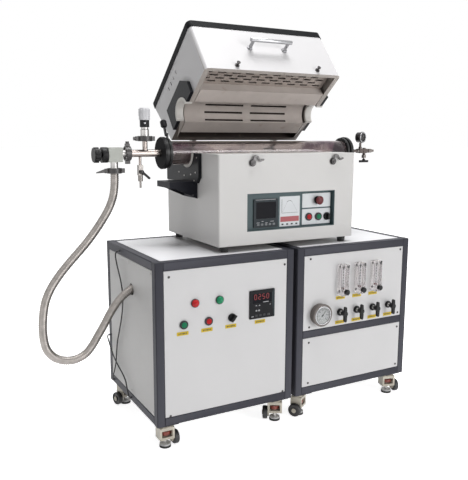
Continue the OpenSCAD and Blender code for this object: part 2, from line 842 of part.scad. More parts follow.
// Fixed hinge half: a leaf on the rear wall, two knuckles and the pin through them
knuckle_r = 8;
knuckle_w = 16;
module body_hinge(x) {
    leaf_z = split_z - 40;
    translate([x, 0, 0]) {
        for (side = [-1, 1]) {
            k = side > 0 ? knuckle_w / 2 + fit : -knuckle_w * 1.5 - fit;
            difference() {
                union() {
                    translate([k, hinge_y, hinge_z]) rod_x(knuckle_r, 0, knuckle_w);
                    translate([k, furn_rear + 3, leaf_z])
                        cube([knuckle_w, hinge_back - 3 + knuckle_r / 2, hinge_z - leaf_z]);
                    translate([k, furn_rear + butt, leaf_z])
                        cube([knuckle_w, 3, split_z - leaf_z]);
                }
                translate([k - 1, hinge_y, hinge_z]) rod_x(hinge_pin_r + run, 0, knuckle_w + 2);
            }
        }
        translate([0, hinge_y, hinge_z])
            rod_x(hinge_pin_r, -knuckle_w * 1.5 - fit - 3, knuckle_w * 1.5 + fit + 3);
    }
}

module furnace_housing() {
    deck_y0 = axis_y - heater_w / 2 - fit;
    color([0.87, 0.86, 0.84]) in_set() {
        difference() {
            body_box(0, furn_z, split_z, sheet_t + 4);
            body_box(sheet_t, furn_z + sheet_t, split_z - sheet_t, 4);
            translate([furn_x + 20, deck_y0, split_z - heater_h])
                cube([furn_w - 40, heater_w + 2 * fit, heater_h + 1]);
            translate([furn_x + recess_x, furn_y - 1, furn_z + recess_z])
                cube([recess_w, sheet_t + 2, recess_h]);
            tube_notch();
        }
        for (x = [furn_x + 90, furn_right - 90])
            translate([x - 20, axis_y - 60, furn_z + sheet_t + butt])
                cube([40, 120, furn_h - heater_h - sheet_t + 2 - 3 * butt]);
        for (x = [furn_x + hinge_inset, furn_right - hinge_inset]) body_hinge(x);
        for (x = latch_x) translate([furn_x + x, furn_y - butt, split_z - latch_drop]) {
            rod_y(latch_r, -latch_boss, 0);
            rod_y(latch_pin_r, -latch_boss - latch_t - 2, -latch_boss);
        }
        furnace_feet();
    }
}

latch_boss = 5;
latch_t = 4;
latch_pin_r = 4;

// Ceramic fibre block with half of the round chamber and its heater grooves
module heater_half(side, z_face) {
    x0 = furn_x + 20 + fit;
    len_x = furn_w - 40 - 2 * fit;
    z0 = side > 0 ? z_face : z_face - heater_h + 2;
    row_gap = 33;
    difference() {
        translate([x0, axis_y - heater_w / 2, z0]) cube([len_x, heater_w, heater_h - 2]);
        translate([0, axis_y, split_z]) rod_x(chamber_r, furn_x, furn_right);
        for (row = [-2.5 : 2.5], end = [-1, 1])
            translate([(furn_x + furn_right) / 2 + end * (groove_len + row_gap) / 2, axis_y, split_z])
                rotate([side > 0 ? row * groove_step : 180 - row * groove_step, 0, 0])
                translate([-groove_len / 2, -groove_w / 2, 0])
                cube([groove_len, groove_w, chamber_r + groove_deep]);
    }
}

module furnace_insulation() {
    color([0.9, 0.88, 0.84]) in_set() heater_half(-1, split_z - butt);
}

// Half ring of white ceramic that the tube lies in
collar_in = 12;
module half_collar(side, x) {
    len_x = collar_out + collar_in;
    translate([x, axis_y, split_z]) intersection() {
        difference() {
            rod_x(collar_r, 0, len_x);
            rod_x(tube_r + fit, -1, len_x + 1);
        }
        z0 = side > 0 ? lid_gap + butt : -collar_r - 1;
        translate([0, -collar_r - 1, z0])
            cube([len_x, 2 * collar_r + 2, collar_r + 1 - (side > 0 ? lid_gap : butt)]);
    }
}

plate_t = 12;
lid_plate_half = 97;
lid_plate_h = 90;
lid_plate_cut = 41;
body_plate_front = 88;
body_plate_rear = furn_d - axis_back - 20;
body_plate_h = 100;
body_plate_cut = 20;

// Black end plate round the collar, on the side of the lid or of the body
module end_plate(side, x, front, rear, h, cut) {
    z0 = split_z + (side > 0 ? lid_gap : 0);
    y0 = axis_y - front;
    y1 = axis_y + rear;
    z1 = z0 + side * h;
    wall_yz(x, plate_t) difference() {
        polygon([[y0, z0], [y1, z0], [y1, z1], [y0 + cut, z1], [y0, z1 - side * cut]]);
        translate([axis_y, split_z]) circle(collar_r + fit);
    }
}

arm_len = 102;
arm_w = 110;
arm_root_h = 58;
arm_tip_h = 20;
arm_nose = 24;
arm_drop = 95;
arm_t = 3;

// Tapered bracket under the flange: a top plate and two webs
module support_arm(x, dir) {
    top = split_z - arm_drop;
    translate([x, axis_y, top]) mirror([dir < 0 ? 1 : 0, 0, 0]) difference() {
        wall_xz(-arm_w / 2, arm_w) polygon([[0, 0], [arm_len, 0], [arm_len, -arm_tip_h],
            [arm_len - arm_nose, -arm_tip_h - 4], [0, -arm_root_h]]);
        wall_xz(-arm_w / 2 + arm_t, arm_w - 2 * arm_t) polygon([[arm_t, -arm_t],
            [arm_len - arm_t, -arm_t], [arm_len - arm_t, -arm_root_h - 1],
            [arm_t, -arm_root_h - 1]]);
        translate([-1, -arm_w, 0]) cube([plate_t + 2 + butt, 2 * arm_w, 1]);
        for (i = [0 : 3]) translate([14 + i * 14, -arm_w / 2 - 1, -arm_root_h + 10])
            cube([7, arm_t + 2, 4]);
    }
}

module tube_supports() {
    color([0.16, 0.17, 0.19]) in_set() {
        for (x = [furn_x - plate_t - butt, furn_right + butt])
            end_plate(-1, x, body_plate_front, body_plate_rear, body_plate_h, body_plate_cut);
        half_collar(-1, furn_x - collar_out);
        half_collar(-1, furn_right - collar_in);
        support_arm(furn_x - butt, -1);
        support_arm(furn_right + butt, 1);
    }
}

// ---- Process tube and its flanges ----

module process_tube() {
    color([0.75, 0.78, 0.8, 0.5]) in_set() translate([0, axis_y, split_z]) difference() {
        rod_x(tube_r, tube_x0 + 1, tube_x1 - 1);
        rod_x(tube_bore_r, tube_x0, tube_x1);
    }
}

// Cap that seats on the tube's end, with a pressure ring bolted on; x grows away from the cap
module tube_flange(port_r) {
    ring_t = 8;
    gap = 1;
    difference() {
        union() {
            rod_x(flange_r - 2, 0, 3);
            rod_x(flange_r, 3, flange_t - ring_t - gap - 4);
            rod_x(flange_r - 6, flange_t - ring_t - gap - 4, flange_t - ring_t - gap);
        }
        rod_x(port_r, -1, flange_t);
        rod_x(tube_r + fit, flange_t - seat_deep, flange_t);
    }
    difference() {
        rod_x(flange_r - 3, flange_t - ring_t, flange_t);
        rod_x(tube_r + fit, 0, flange_t + 1);
    }
    for (a = [45 : 90 : 315]) rotate([a, 0, 0]) translate([0, 0, flange_r - 5.5])
        rod_x(2.5, flange_t, flange_t + 5);
}

module tube_flanges() {
    color([0.12, 0.12, 0.14]) in_set() {
        translate([flange_l, axis_y, split_z]) tube_flange(pipe_bore_r);
        translate([flange_rt, axis_y, split_z]) mirror([1, 0, 0]) tube_flange(inlet_bore_r);
        lever_pivot_at() {
            rod_x(lever_pin_r, -lever_t - fit - 1, 1);
            wall_yz(0, 4) {
                circle(6);
                translate([-6, -14]) square([12, 14]);
            }
        }
    }
}

inlet_bore_r = 4;
lever_pin_r = 3;
lever_t = 5;
lever_len = 53;
lever_lean = 27;

// Pivot of the clamp lever, on top of the left flange's pressure ring
module lever_pivot_at() {
    translate([flange_l + flange_t - 4, axis_y - 4, split_z + flange_r + 7]) children();
}

// Lever of the left flange's clamp, with a round grip
module flange_clamp_lever() {
    grip_r = 11;
    grip_len = 24;
    color([0.1, 0.1, 0.11]) in_set() lever_pivot_at() translate([-fit, 0, 0])
        rotate([-lever_lean, 0, 0]) {
        difference() {
            wall_yz(-lever_t, lever_t) flat_bar([0, 0], [0, lever_len - grip_len - 2], 11);
            rod_x(lever_pin_r + run, -lever_t - 1, 1);
        }
        translate([-lever_t / 2, 0, lever_len - grip_len]) rotate_extrude()
            polygon([[0, 0], [grip_r - 2, 0], [grip_r, 3], [grip_r, grip_len - 4],
                [grip_r - 4, grip_len], [0, grip_len]]);
    }
}

// ---- Vacuum line ----

// Clamp round a pair of small flanges, along X: its hinge lug towards -Y, its screw lug and nut
// or its lever towards +Y
module kf_clamp(width, lever) {
    lug = 10;
    screw_y = clamp_r + 8;
    difference() {
        union() {
            rod_x(clamp_r, -width / 2, width / 2);
            for (y = [-clamp_r - lug, clamp_r - 6])
                translate([-width / 2 + 1, y, -lug / 2]) cube([width - 2, lug + 4, lug]);
        }
        rod_x(kf_r + fit, -width, width);
    }
    if (lever == 0) translate([0, screw_y + butt, 0]) rod_y(6, 0, 7);
    if (lever > 0) translate([0, 0, -4]) linear_extrude(8) polygon([
        [-6, screw_y + butt], [6, screw_y + butt], [7, lever], [4, lever]]);
}

clamp_lever = 60;
module vacuum_line() {
    clamp_w = 17;
    top = split_z;
    color([0.62, 0.62, 0.63]) in_set() {
        translate([0, axis_y, top]) difference() {
            union() {
                rod_x(pipe_r, line_x, flange_l - butt);
                rod_x(kf_r, line_x, line_x + kf_t);
                translate([sensor_x, 0, 0]) {
                    rod_z(8.5, 0, sensor_port);
                    rod_z(kf_r, sensor_port - kf_t, sensor_port);
                }
                translate([drain_x, 0, 0]) rod_z(4.5, drain_z - top, 0);
            }
            rod_x(pipe_bore_r, line_x - 1, flange_l + 1);
        }
        translate([drain_x, axis_y, 0]) {
            translate([-8, -8, drain_z - 34]) cube([16, 16, 34 - butt]);
            rod_z(8, drain_z - 54, drain_z - 34 - butt);
            rod_z(3.5, drain_z - 76, drain_z - 54 - butt);
            translate([0, 0, drain_z - drain_drop])
                rod_y(drain_stem_r, -8 - drain_stem, -8 - butt);
        }
        translate([line_x - butt / 2, axis_y, top]) rotate([90, 0, 0]) kf_clamp(clamp_w, 0);
        translate([sensor_x, axis_y, top + sensor_port + butt / 2])
            rotate([0, 90, 0]) rotate([-90, 0, 0]) kf_clamp(clamp_w, 0);
        translate([valve_mid_x, axis_y, hose_top + 3 + kf_t])
            rotate([0, 90, 0]) rotate([-90, 0, 0]) kf_clamp(clamp_w, clamp_lever);
        translate([valve_mid_x, axis_y, 0]) {
            rod_z(kf_r, hose_top + 3, hose_top + 3 + kf_t - butt);
            rod_z(hose_r + 1, hose_top, hose_top + 3 - butt);
        }
    }
}

drain_stem_r = 2.5;
drain_stem = 12;
drain_drop = 22;

// Lever of the small drain valve under the vacuum line
module drain_valve_lever() {
    y0 = axis_y - 8 - drain_stem;
    color([0.1, 0.1, 0.11]) in_set() translate([drain_x, y0, drain_z - drain_drop])
        difference() {
        wall_xz(0, 5) {
            circle(6);
            flat_path([[0, 0], [9, -8], [24, -21]], 8);
        }
        rod_y(drain_stem_r + run, -1, 6);
    }
}

module vacuum_sensor() {
    z0 = split_z + sensor_port + butt;
    color([0.8, 0.8, 0.82]) in_set() translate([sensor_x, axis_y, z0]) {
        rod_z(kf_r, 0, kf_t);
        rod_z(9, kf_t, 7);
        translate([0, 0, 7]) rotate_extrude()
            polygon([[0, 0], [14, 0], [14, 22], [11, 25], [11, 30 - butt], [0, 30 - butt]]);
        rod_z(15.5, 37, 60);
        rod_z(12, 37 - 7, 37);
        translate([0, 0, 60 + butt]) rotate_extrude()
            polygon([[0, 0], [18, 0], [18, 32], [15, 39], [0, 39]]);
    }
}

// Square body with an inlet on its right, an outlet below and a bonnet on its left
module angle_valve() {
    inlet_end_x = line_x - butt;
    color([0.5, 0.52, 0.5]) in_set() {
        difference() {
            union() {
                translate([valve_x0, axis_y - valve_deep / 2, valve_low])
                    cube([valve_side, valve_deep, valve_side]);
                translate([0, axis_y, split_z]) {
                    rod_x(pipe_r, valve_x1, inlet_end_x);
                    rod_x(kf_r, inlet_end_x - kf_t, inlet_end_x);
                }
                translate([valve_mid_x, axis_y, 0]) {
                    rod_z(pipe_r, valve_low - outlet_len, valve_low);
                    rod_z(kf_r, valve_low - outlet_len, valve_low - outlet_len + kf_t);
                }
            }
            translate([0, axis_y, split_z]) rod_x(pipe_bore_r, valve_mid_x, inlet_end_x + 1);
            translate([valve_mid_x, axis_y, 0])
                rod_z(pipe_bore_r, valve_low - outlet_len - 1, split_z);
        }
        translate([0, axis_y, split_z - bonnet_drop]) {
            rod_x(bonnet_r, valve_x0 - bonnet_len, valve_x0 - butt);
            rod_x(9, valve_x0 - bonnet_len - knob_gap + fit, valve_x0 - bonnet_len);
            rod_x(knob_shaft_r + 2, valve_x0 - bonnet_len - knob_gap - 16, valve_x0 - bonnet_len);
        }
    }
}

module angle_valve_knob() {
    color([0.06, 0.06, 0.07]) in_set() translate([valve_knob_x, axis_y, split_z - bonnet_drop])
        difference() {
            union() {
                rod_x(valve_knob_r - 2, 0, 3);
                rod_x(valve_knob_r, 3, valve_knob_len - 5);
                rod_x(valve_knob_r - 6, valve_knob_len - 5, valve_knob_len);
            }
            rod_x(knob_shaft_r + 2 + run, valve_knob_len - 16 - fit, valve_knob_len + 1);
            for (a = [0 : 30 : 330]) rotate([a, 0, 0]) translate([0, 0, valve_knob_r + 2])
                rod_x(4, 2, valve_knob_len - 4);
        }
}

module vacuum_hose() {
    color([0.55, 0.55, 0.56]) in_set()
        swept_tube(hose_route, hose_r, hose_sides, [0, 0, -1], [0, 0, -1]);
}

module sensor_cable() {
    color([0.05, 0.05, 0.05]) in_set()
        swept_tube(sensor_cable_route, cable_r, cable_sides, [-1, 0, 0], [1, 0, 0]);
}

module thermocouple_cable() {
    color([0.05, 0.05, 0.05]) in_set()
        swept_tube(thermocouple_cable_route, cable_r, cable_sides, [-1, 0, 0], [1, 0, 0]);
}

// ---- Gas inlet at the right flange ----

module rod_at(x) {
    translate([x, 0, 0]) children();
}

module gas_inlet() {
    cross = 18;
    color([0.62, 0.62, 0.63]) in_set() translate([0, axis_y, split_z]) {
        difference() {
            union() {
                rod_x(11, flange_rt + butt, flange_rt + 12);
                rod_x(inlet_pipe_r, flange_rt + butt, inlet_end - 13);
                rod_x(nozzle_r, inlet_end - 14, inlet_end);
                rod_x(inlet_pipe_r + 2, inlet_end - 26, inlet_end - 12);
                rod_x(inlet_pipe_r + 2, inlet_x - 18, inlet_x - 10);
                translate([inlet_x - cross / 2, -cross / 2, -cross / 2]) cube(cross);
                translate([inlet_valve_x - cross / 2, -cross / 2, -cross / 2]) cube(cross);
                rod_at(inlet_x) {
                    rod_z(4.5, 0, inlet_gauge_up - gauge_r + 1);
                    rod_z(6.5, cross / 2, cross / 2 + 7);
                }
                rod_at(inlet_valve_x) {
                    rod_z(6, -inlet_nut_z - 12, 0);
                    rod_z(9, -inlet_nut_z - 12, -inlet_nut_z);
                    rod_z(inlet_stem_r, -inlet_stem, 0);
                    rod_z(6.5, 0, cross / 2 + 3);
                }
            }
            rod_x(inlet_bore_r - 1, flange_rt, inlet_end + 1);
        }
        translate([inlet_x, 0, inlet_gauge_up]) rotate([0, 0, inlet_gauge_turn])
            translate([0, inlet_gauge_deep / 2, 0])
            gauge_case(gauge_r, inlet_gauge_deep, gauge_r - 4);
    }
}

inlet_stem_r = 3;
inlet_stem = 42;
inlet_nut_z = 16;

// Bar handle under the gas inlet, turned about Z
module inlet_valve_handle() {
    bar = 46;
    bar_h = 9;
    color([0.08, 0.08, 0.09]) in_set() translate([inlet_valve_x, axis_y, split_z])
        difference() {
        union() {
            rod_z(6, -inlet_stem, -inlet_nut_z - 12 - 4);
            translate([-bar / 2, -4, -inlet_stem - 4])
                linear_extrude(bar_h) round_rect(bar, 8, 3.5);
        }
        rod_z(inlet_stem_r + run, -inlet_stem - fit, 0);
    }
}

// ---- Vacuum pump inside the left cabinet ----

module vacuum_pump() {
    base_z = cab_z + tube_t + butt;
    base_t = 12;
    base = [360, 150];
    port = hose_route[len(hose_route) - 1];
    neck = 48;
    block = [124, 130, port.z - base_z - base_t - neck];
    motor_r = 62;
    motor_len = 180;
    motor_z = base_z + base_t + motor_r + 12;
    color([0.3, 0.35, 0.42]) in_set() {
        translate([port.x - base.y / 2, port.y - base.y / 2, base_z])
            cube([base.x, base.y, base_t]);
        translate([port.x - block.x / 2, port.y - block.y / 2, base_z + base_t - butt])
            cube([block.x, block.y, block.z]);
        translate([0, port.y, motor_z]) rod_x(motor_r, port.x + block.x / 2 - 1,
            port.x + block.x / 2 + motor_len);
        for (x = [30, motor_len - 40])
            translate([port.x + block.x / 2 + x, port.y - 40, base_z + base_t - butt])
                cube([14, 80, 30]);
        translate([port.x, port.y, 0]) {
            rod_z(pipe_r, port.z - 60, port.z - 8);
            rod_z(kf_r, port.z - 8, port.z - 8 + kf_t);
            rod_z(hose_r + 1, port.z - 4 + butt, port.z - butt);
        }
    }
}

// ---- Lid, drawn closed and turned open ----

// Slice of the lid's form: round front corners, and a rear wall that leans in towards the mouth
module lid_form(inset, z0, z1, r) {
    lean = lid_lean / (skirt_z - mouth_z);
    rear0 = lid_rear - lid_lean - inset;
    rear1 = lid_rear - inset;
    intersection() {
        translate([0, 0, z0]) linear_extrude(z1 - z0)
            plan(furn_x + inset, furn_right - inset, furn_y + inset, lid_rear, r);
        wall_yz(furn_x, furn_w) polygon([
            [furn_y, mouth_z - 10], [rear0 - 10 * lean, mouth_z - 10],
            [rear1, skirt_z], [rear1, lid_top], [furn_y, lid_top]]);
    }
}

// Upright vent slots in the lid's sides
vent_pitch = 28;
vent_up = 145;
vent_w = 5;
vent_h = 16;

module lid_shell() {
    rim = 14;
    top_in = skirt_z - sheet_t;
    guard_z = mouth_z + 30;
    guard_y1 = axis_y - heater_w / 2 - fit;
    guard_y0 = furn_y + rim + 2;
    slot_w = 33;
    slot_h = 7;
    slot_pitch = 54;
    row_pitch = 13.7;
    slots = floor((furn_w - 36 - slot_w - slot_pitch / 2) / slot_pitch);
    rows = floor((guard_y1 - guard_y0 - row_pitch) / row_pitch);
    color([0.87, 0.86, 0.84]) in_set() on_lid() {
        difference() {
            lid_form(0, mouth_z, skirt_z - butt, lid_corner_r);
            lid_form(sheet_t, mouth_z + sheet_t, top_in, lid_corner_r - sheet_t);
            translate([furn_x + 18, furn_y + rim, mouth_z - 1])
                cube([furn_w - 36, lid_rear - lid_lean - furn_y - 2 * rim, sheet_t + 2]);
            tube_notch();
            for (i = [0 : 3])
                translate([furn_x - 1, axis_y + (i - 1.2) * vent_pitch, mouth_z + vent_up])
                    cube([furn_w + 2, vent_w, vent_h]);
        }
        for (x = [furn_x + 90, furn_right - 90])
            translate([x - 20, axis_y - 60, mouth_z + heater_h - 2 + 2 * butt])
                cube([40, 120, top_in - mouth_z - heater_h + 2 - 3 * butt]);
        difference() {
            translate([furn_x + 18, guard_y0, guard_z])
                cube([furn_w - 36, guard_y1 - guard_y0, sheet_t]);
            for (row = [1 : rows], i = [0 : slots])
                translate([furn_x + 20 + (row % 2) * slot_pitch / 2 + i * slot_pitch,
                    guard_y1 - row * row_pitch - slot_h / 2, guard_z - 1])
                    cube([slot_w, slot_h, sheet_t + 2]);
        }
    }
}

module lid_cover() {
    r = lid_corner_r + cover_over;
    color([0.06, 0.06, 0.07]) in_set() on_lid() difference() {
        translate([0, 0, skirt_z]) linear_extrude(cover_h) plan(furn_x - cover_over,
            furn_right + cover_over, furn_y - cover_over, lid_rear + cover_over, r);
        translate([0, 0, skirt_z - 1]) linear_extrude(cover_h - sheet_t + 1) plan(
            furn_x - cover_over + 2 * sheet_t + 1, furn_right + cover_over - 2 * sheet_t - 1,
            furn_y - cover_over + 2 * sheet_t + 1, lid_rear + cover_over - 2 * sheet_t - 1,
            r - 2 * sheet_t - 1);
    }
}

module lid_insulation() {
    color([0.85, 0.82, 0.78]) in_set() on_lid() heater_half(1, mouth_z + butt);
}

// Moving hinge half: an arm from the lid's rear wall to a knuckle between the fixed ones
module lid_hinge(x) {
    lean = lid_lean / (skirt_z - mouth_z);
    low = hinge_z - 4;
    high = hinge_z + 40;
    wall_low = lid_rear - lid_lean + (low - mouth_z) * lean + 2 * butt;
    wall_high = lid_rear - lid_lean + (high - mouth_z) * lean + 2 * butt;
    translate([x, 0, 0]) difference() {
        union() {
            translate([0, hinge_y, hinge_z]) rod_x(knuckle_r, -knuckle_w / 2, knuckle_w / 2);
            wall_yz(-knuckle_w / 2, knuckle_w) polygon([[wall_low, low], [hinge_y, low],
                [hinge_y, low + 10], [wall_high + 16, low + 12], [wall_high + 3, high],
                [wall_high, high]]);
        }
        translate([0, hinge_y, hinge_z])
            rod_x(hinge_pin_r + run, -knuckle_w / 2 - 1, knuckle_w / 2 + 1);
    }
}

handle_w = 164;
handle_z = 105;
handle_bar_r = 7;
handle_out = 38;

module lid_handle() {
    translate([furn_x + furn_w / 2, furn_y - butt, mouth_z + handle_z]) {
        for (side = [-1, 1]) translate([side * (handle_w / 2 - 12), 0, 0]) {
            rod_y(handle_bar_r - 1, -handle_out, 0);
            rod_y(handle_bar_r + 3, -4, 0);
        }
        translate([0, -handle_out, 0]) rod_x(handle_bar_r, -handle_w / 2, handle_w / 2);
    }
}

stud_up = 18;
module latch_stud(x) {
    translate([furn_x + x, furn_y - butt, mouth_z + stud_up]) {
        rod_y(8, -3, 0);
        rod_y(4, -13, -3);
        rod_y(6.5, -16, -13);
    }
}

module lid_fittings() {
    color([0.5, 0.5, 0.52]) in_set() on_lid() {
        for (x = [furn_x + hinge_inset, furn_right - hinge_inset]) lid_hinge(x);
        lid_handle();
        for (x = latch_x) latch_stud(x);
        for (x = [furn_x - plate_t - butt, furn_right + butt])
            end_plate(1, x, lid_plate_half, lid_plate_half, lid_plate_h, lid_plate_cut);
        half_collar(1, furn_x - collar_out);
        half_collar(1, furn_right - collar_in);
    }
}

// Hook of a lid latch: an S-shaped flat bar that turns on its boss
module latch_hook(x) {
    color([0.5, 0.5, 0.52]) in_set()
        translate([furn_x + x, furn_y - butt - latch_boss - latch_t - fit, split_z - latch_drop])
        difference() {
            wall_xz(0, latch_t) {
                circle(9);
                flat_path([[0, 0], [3, 19], [9, 22], [16, 20], [22, 10], [28, 6], [38, 10]], 6);
            }
            rod_y(latch_pin_r + run, -1, latch_t + 1);
        }
}

// ---- Levelling casters ----

// Die-cast yoke with its thumb wheel, screw, cup and rubber pad; swivel axis on Z
module caster(i) {
    half = arch_w / 2;
    at = caster_xy(i);
    head_top = cab_z - butt - caster_plate_t - fit;
    translate([at.x, at.y, 0]) rotate([0, 0, caster_turn[i]]) {
        difference() {
            union() {
                rod_z(head_r, head_z - 1, head_top);
                translate([-half, -arch_d / 2, arch_z]) cube([arch_w, arch_d, head_z - arch_z]);
                wall_yz(half - cheek_t, cheek_t) {
                    translate([-14, wheel_z]) square([28, head_z - wheel_z]);
                    translate([0, wheel_z]) circle(14);
                }
                translate([0, 0, wheel_z]) {
                    rod_x(axle_r, half - 1, wheel_x + wheel_w + fit + 2);
                    rod_x(axle_r + 3, wheel_x + wheel_w + fit, wheel_x + wheel_w + fit + 2);
                }
            }
            rod_z(swivel_pin_r + run, head_top - swivel_pin_len - fit, head_top + 1);
            translate([-thumb_r - 1, -arch_d, window_z]) cube([2 * thumb_r + 2, 2 * arch_d, window_h]);
            rod_z(6 + fit, arch_z - 1, window_z + 1);
            for (side = [-1, 1]) translate([-half - 1, side * arch_d / 2, head_z])
                rotate([45, 0, 0]) cube([arch_w + 2, 7, 7], center = false);
        }
        rod_z(thumb_r, thumb_z, thumb_z + thumb_h);
        rod_z(6, pad_t + foot_cup_t, thumb_z);
        rod_z(pad_r - 1, pad_t + butt, pad_t + foot_cup_t);
        rod_z(pad_r, 0, pad_t);
    }
}

module caster_wheel(i) {
    at = caster_xy(i);
    translate([at.x, at.y, 0]) rotate([0, 0, caster_turn[i]]) translate([wheel_x, 0, wheel_z])
        rotate([0, 90, 0]) rotate_extrude() polygon([
            [axle_r + run, 0], [wheel_r - 2, 0], [wheel_r, 3], [wheel_r, wheel_w - 3], [wheel_r - 2, wheel_w], [wheel_r - 5, wheel_w],
            [wheel_r - 5, wheel_w - 2], [9, wheel_w - 2], [9, wheel_w], [axle_r + run, wheel_w]]);
}

module cast_caster(i) {
    color([0.9, 0.88, 0.8]) in_set() caster(i);
}

module black_wheel(i) {
    color([0.08, 0.08, 0.08]) in_set() caster_wheel(i);
}

cabinet_frames();
cabinet_panels();
front_panels();
panel_meters();
lamps_and_bezels();
flow_meters();
gas_manifold();
furnace_housing();
furnace_insulation();
tube_supports();
process_tube();
tube_flanges();
vacuum_line();
vacuum_sensor();
angle_valve();
gas_inlet();
vacuum_pump();
lid_shell();
lid_cover();
lid_insulation();
lid_fittings();
vacuum_hose();
sensor_cable();
thermocouple_cable();
latch_hook(latch_x[0]);  // latch_hook_left
latch_hook(latch_x[1]);  // latch_hook_right
pump_start_button();
pump_stop_button();
heat_stop_button();
heat_start_button();
emergency_stop();
pump_selector();
power_selector();
flow_knob(0);  // flow_knob_1
flow_knob(1);  // flow_knob_2
flow_knob(2);  // flow_knob_3
gas_valve_handle(0);  // gas_valve_handle_1
gas_valve_handle(1);  // gas_valve_handle_2
gas_valve_handle(2);  // gas_valve_handle_3
gas_valve_handle(3);  // gas_valve_handle_4
angle_valve_knob();
drain_valve_lever();
inlet_valve_handle();
flange_clamp_lever();
cast_caster(0);  // left_caster_fl
cast_caster(1);  // left_caster_fr
cast_caster(2);  // left_caster_rl
cast_caster(3);  // left_caster_rr
cast_caster(4);  // right_caster_fl
cast_caster(5);  // right_caster_fr
cast_caster(6);  // right_caster_rl
cast_caster(7);  // right_caster_rr
black_wheel(0);  // left_wheel_fl
black_wheel(1);  // left_wheel_fr
black_wheel(2);  // left_wheel_rl
black_wheel(3);  // left_wheel_rr
black_wheel(4);  // right_wheel_fl
black_wheel(5);  // right_wheel_fr
black_wheel(6);  // right_wheel_rl
black_wheel(7);  // right_wheel_rr
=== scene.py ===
import math
import bmesh
import bpy
from mathutils import Matrix, Vector


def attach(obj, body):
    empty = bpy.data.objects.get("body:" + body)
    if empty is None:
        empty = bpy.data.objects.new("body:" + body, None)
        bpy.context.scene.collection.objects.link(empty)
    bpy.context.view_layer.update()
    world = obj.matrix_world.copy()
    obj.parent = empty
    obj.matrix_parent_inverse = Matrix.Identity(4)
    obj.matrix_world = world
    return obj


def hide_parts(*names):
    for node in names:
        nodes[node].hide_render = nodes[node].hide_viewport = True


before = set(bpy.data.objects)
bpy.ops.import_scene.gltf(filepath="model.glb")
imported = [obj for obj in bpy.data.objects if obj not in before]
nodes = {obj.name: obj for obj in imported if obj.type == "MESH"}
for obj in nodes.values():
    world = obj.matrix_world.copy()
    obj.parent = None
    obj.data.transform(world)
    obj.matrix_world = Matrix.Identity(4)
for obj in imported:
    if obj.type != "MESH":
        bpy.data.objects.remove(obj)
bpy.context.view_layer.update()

# ---- The set's coordinates: millimetres, X from the left cabinet's side, Y from its front ----
LID = math.radians(39.5)
HINGE_Y, HINGE_Z = 474.0, 939.0
SPLIT, AXIS_Y, MOUTH = 930.0, 260.0, 932.0
FX, FY, FZ = 240.0, 50.0, 632.0  # the furnace's left, front and lower sides
FURN_W = 545.0
MID_X = FX + FURN_W / 2
TRAY_Y = FY + 18  # face of the sunk control tray
TOP = 612.0  # the cabinets' tops
RIGHT = 516.0  # left side of the right cabinet
CHAMBER_R = 52.0
FLOW_X, FLOW_PITCH = RIGHT + 186, 74.5
GAUGE_X, GAUGE_Z = 610, 374
INLET_GAUGE = (986.6, 251.4, 983)
LID_REAR, LID_TOP = 459, 1147  # of the closed lid
FRONT_REACH = 41.3  # how far the foremost piece stands out in front of Y 0
open_rear = (HINGE_Y + (LID_REAR - HINGE_Y) * math.cos(LID)
             + (LID_TOP - HINGE_Z) * math.sin(LID))
SX, SY = -475.5, -(open_rear - FRONT_REACH) / 2


def S(x, y, z):
    """A point of the set in the row frame, in metres."""
    return Vector(((x + SX) / 1000, (y + SY) / 1000, z / 1000))


def to_set(p):
    return Vector((p.x * 1000 - SX, p.y * 1000 - SY, p.z * 1000))


def closed(p):
    """Where a point of the open lid, in set coordinates, lies on the closed lid."""
    a, b = p.y - HINGE_Y, p.z - HINGE_Z
    return Vector((p.x, HINGE_Y + a * math.cos(LID) - b * math.sin(LID),
                   HINGE_Z + a * math.sin(LID) + b * math.cos(LID)))


# ---- Camera ----
YAW, PITCH, ROLL = math.radians(28.718), math.radians(9.435), math.radians(0.202)
fwd = Vector((math.sin(YAW) * math.cos(PITCH), math.cos(YAW) * math.cos(PITCH), -math.sin(PITCH)))
side = Vector((math.cos(YAW), -math.sin(YAW), 0))
up = side.cross(fwd)
r = side * math.cos(ROLL) + up * math.sin(ROLL)
u = up * math.cos(ROLL) - side * math.sin(ROLL)
cam_data = bpy.data.cameras.new("camera")
cam_data.sensor_width = 36
cam_data.lens = 47.48
cam_data.clip_end = 50
cam = bpy.data.objects.new("camera", cam_data)
bpy.context.scene.collection.objects.link(cam)
cam.matrix_world = Matrix.Translation(S(-681.8, -1736.1, 991.4)) @ Matrix(
    ((r.x, u.x, -fwd.x), (r.y, u.y, -fwd.y), (r.z, u.z, -fwd.z))).to_4x4()
bpy.context.scene.camera = cam


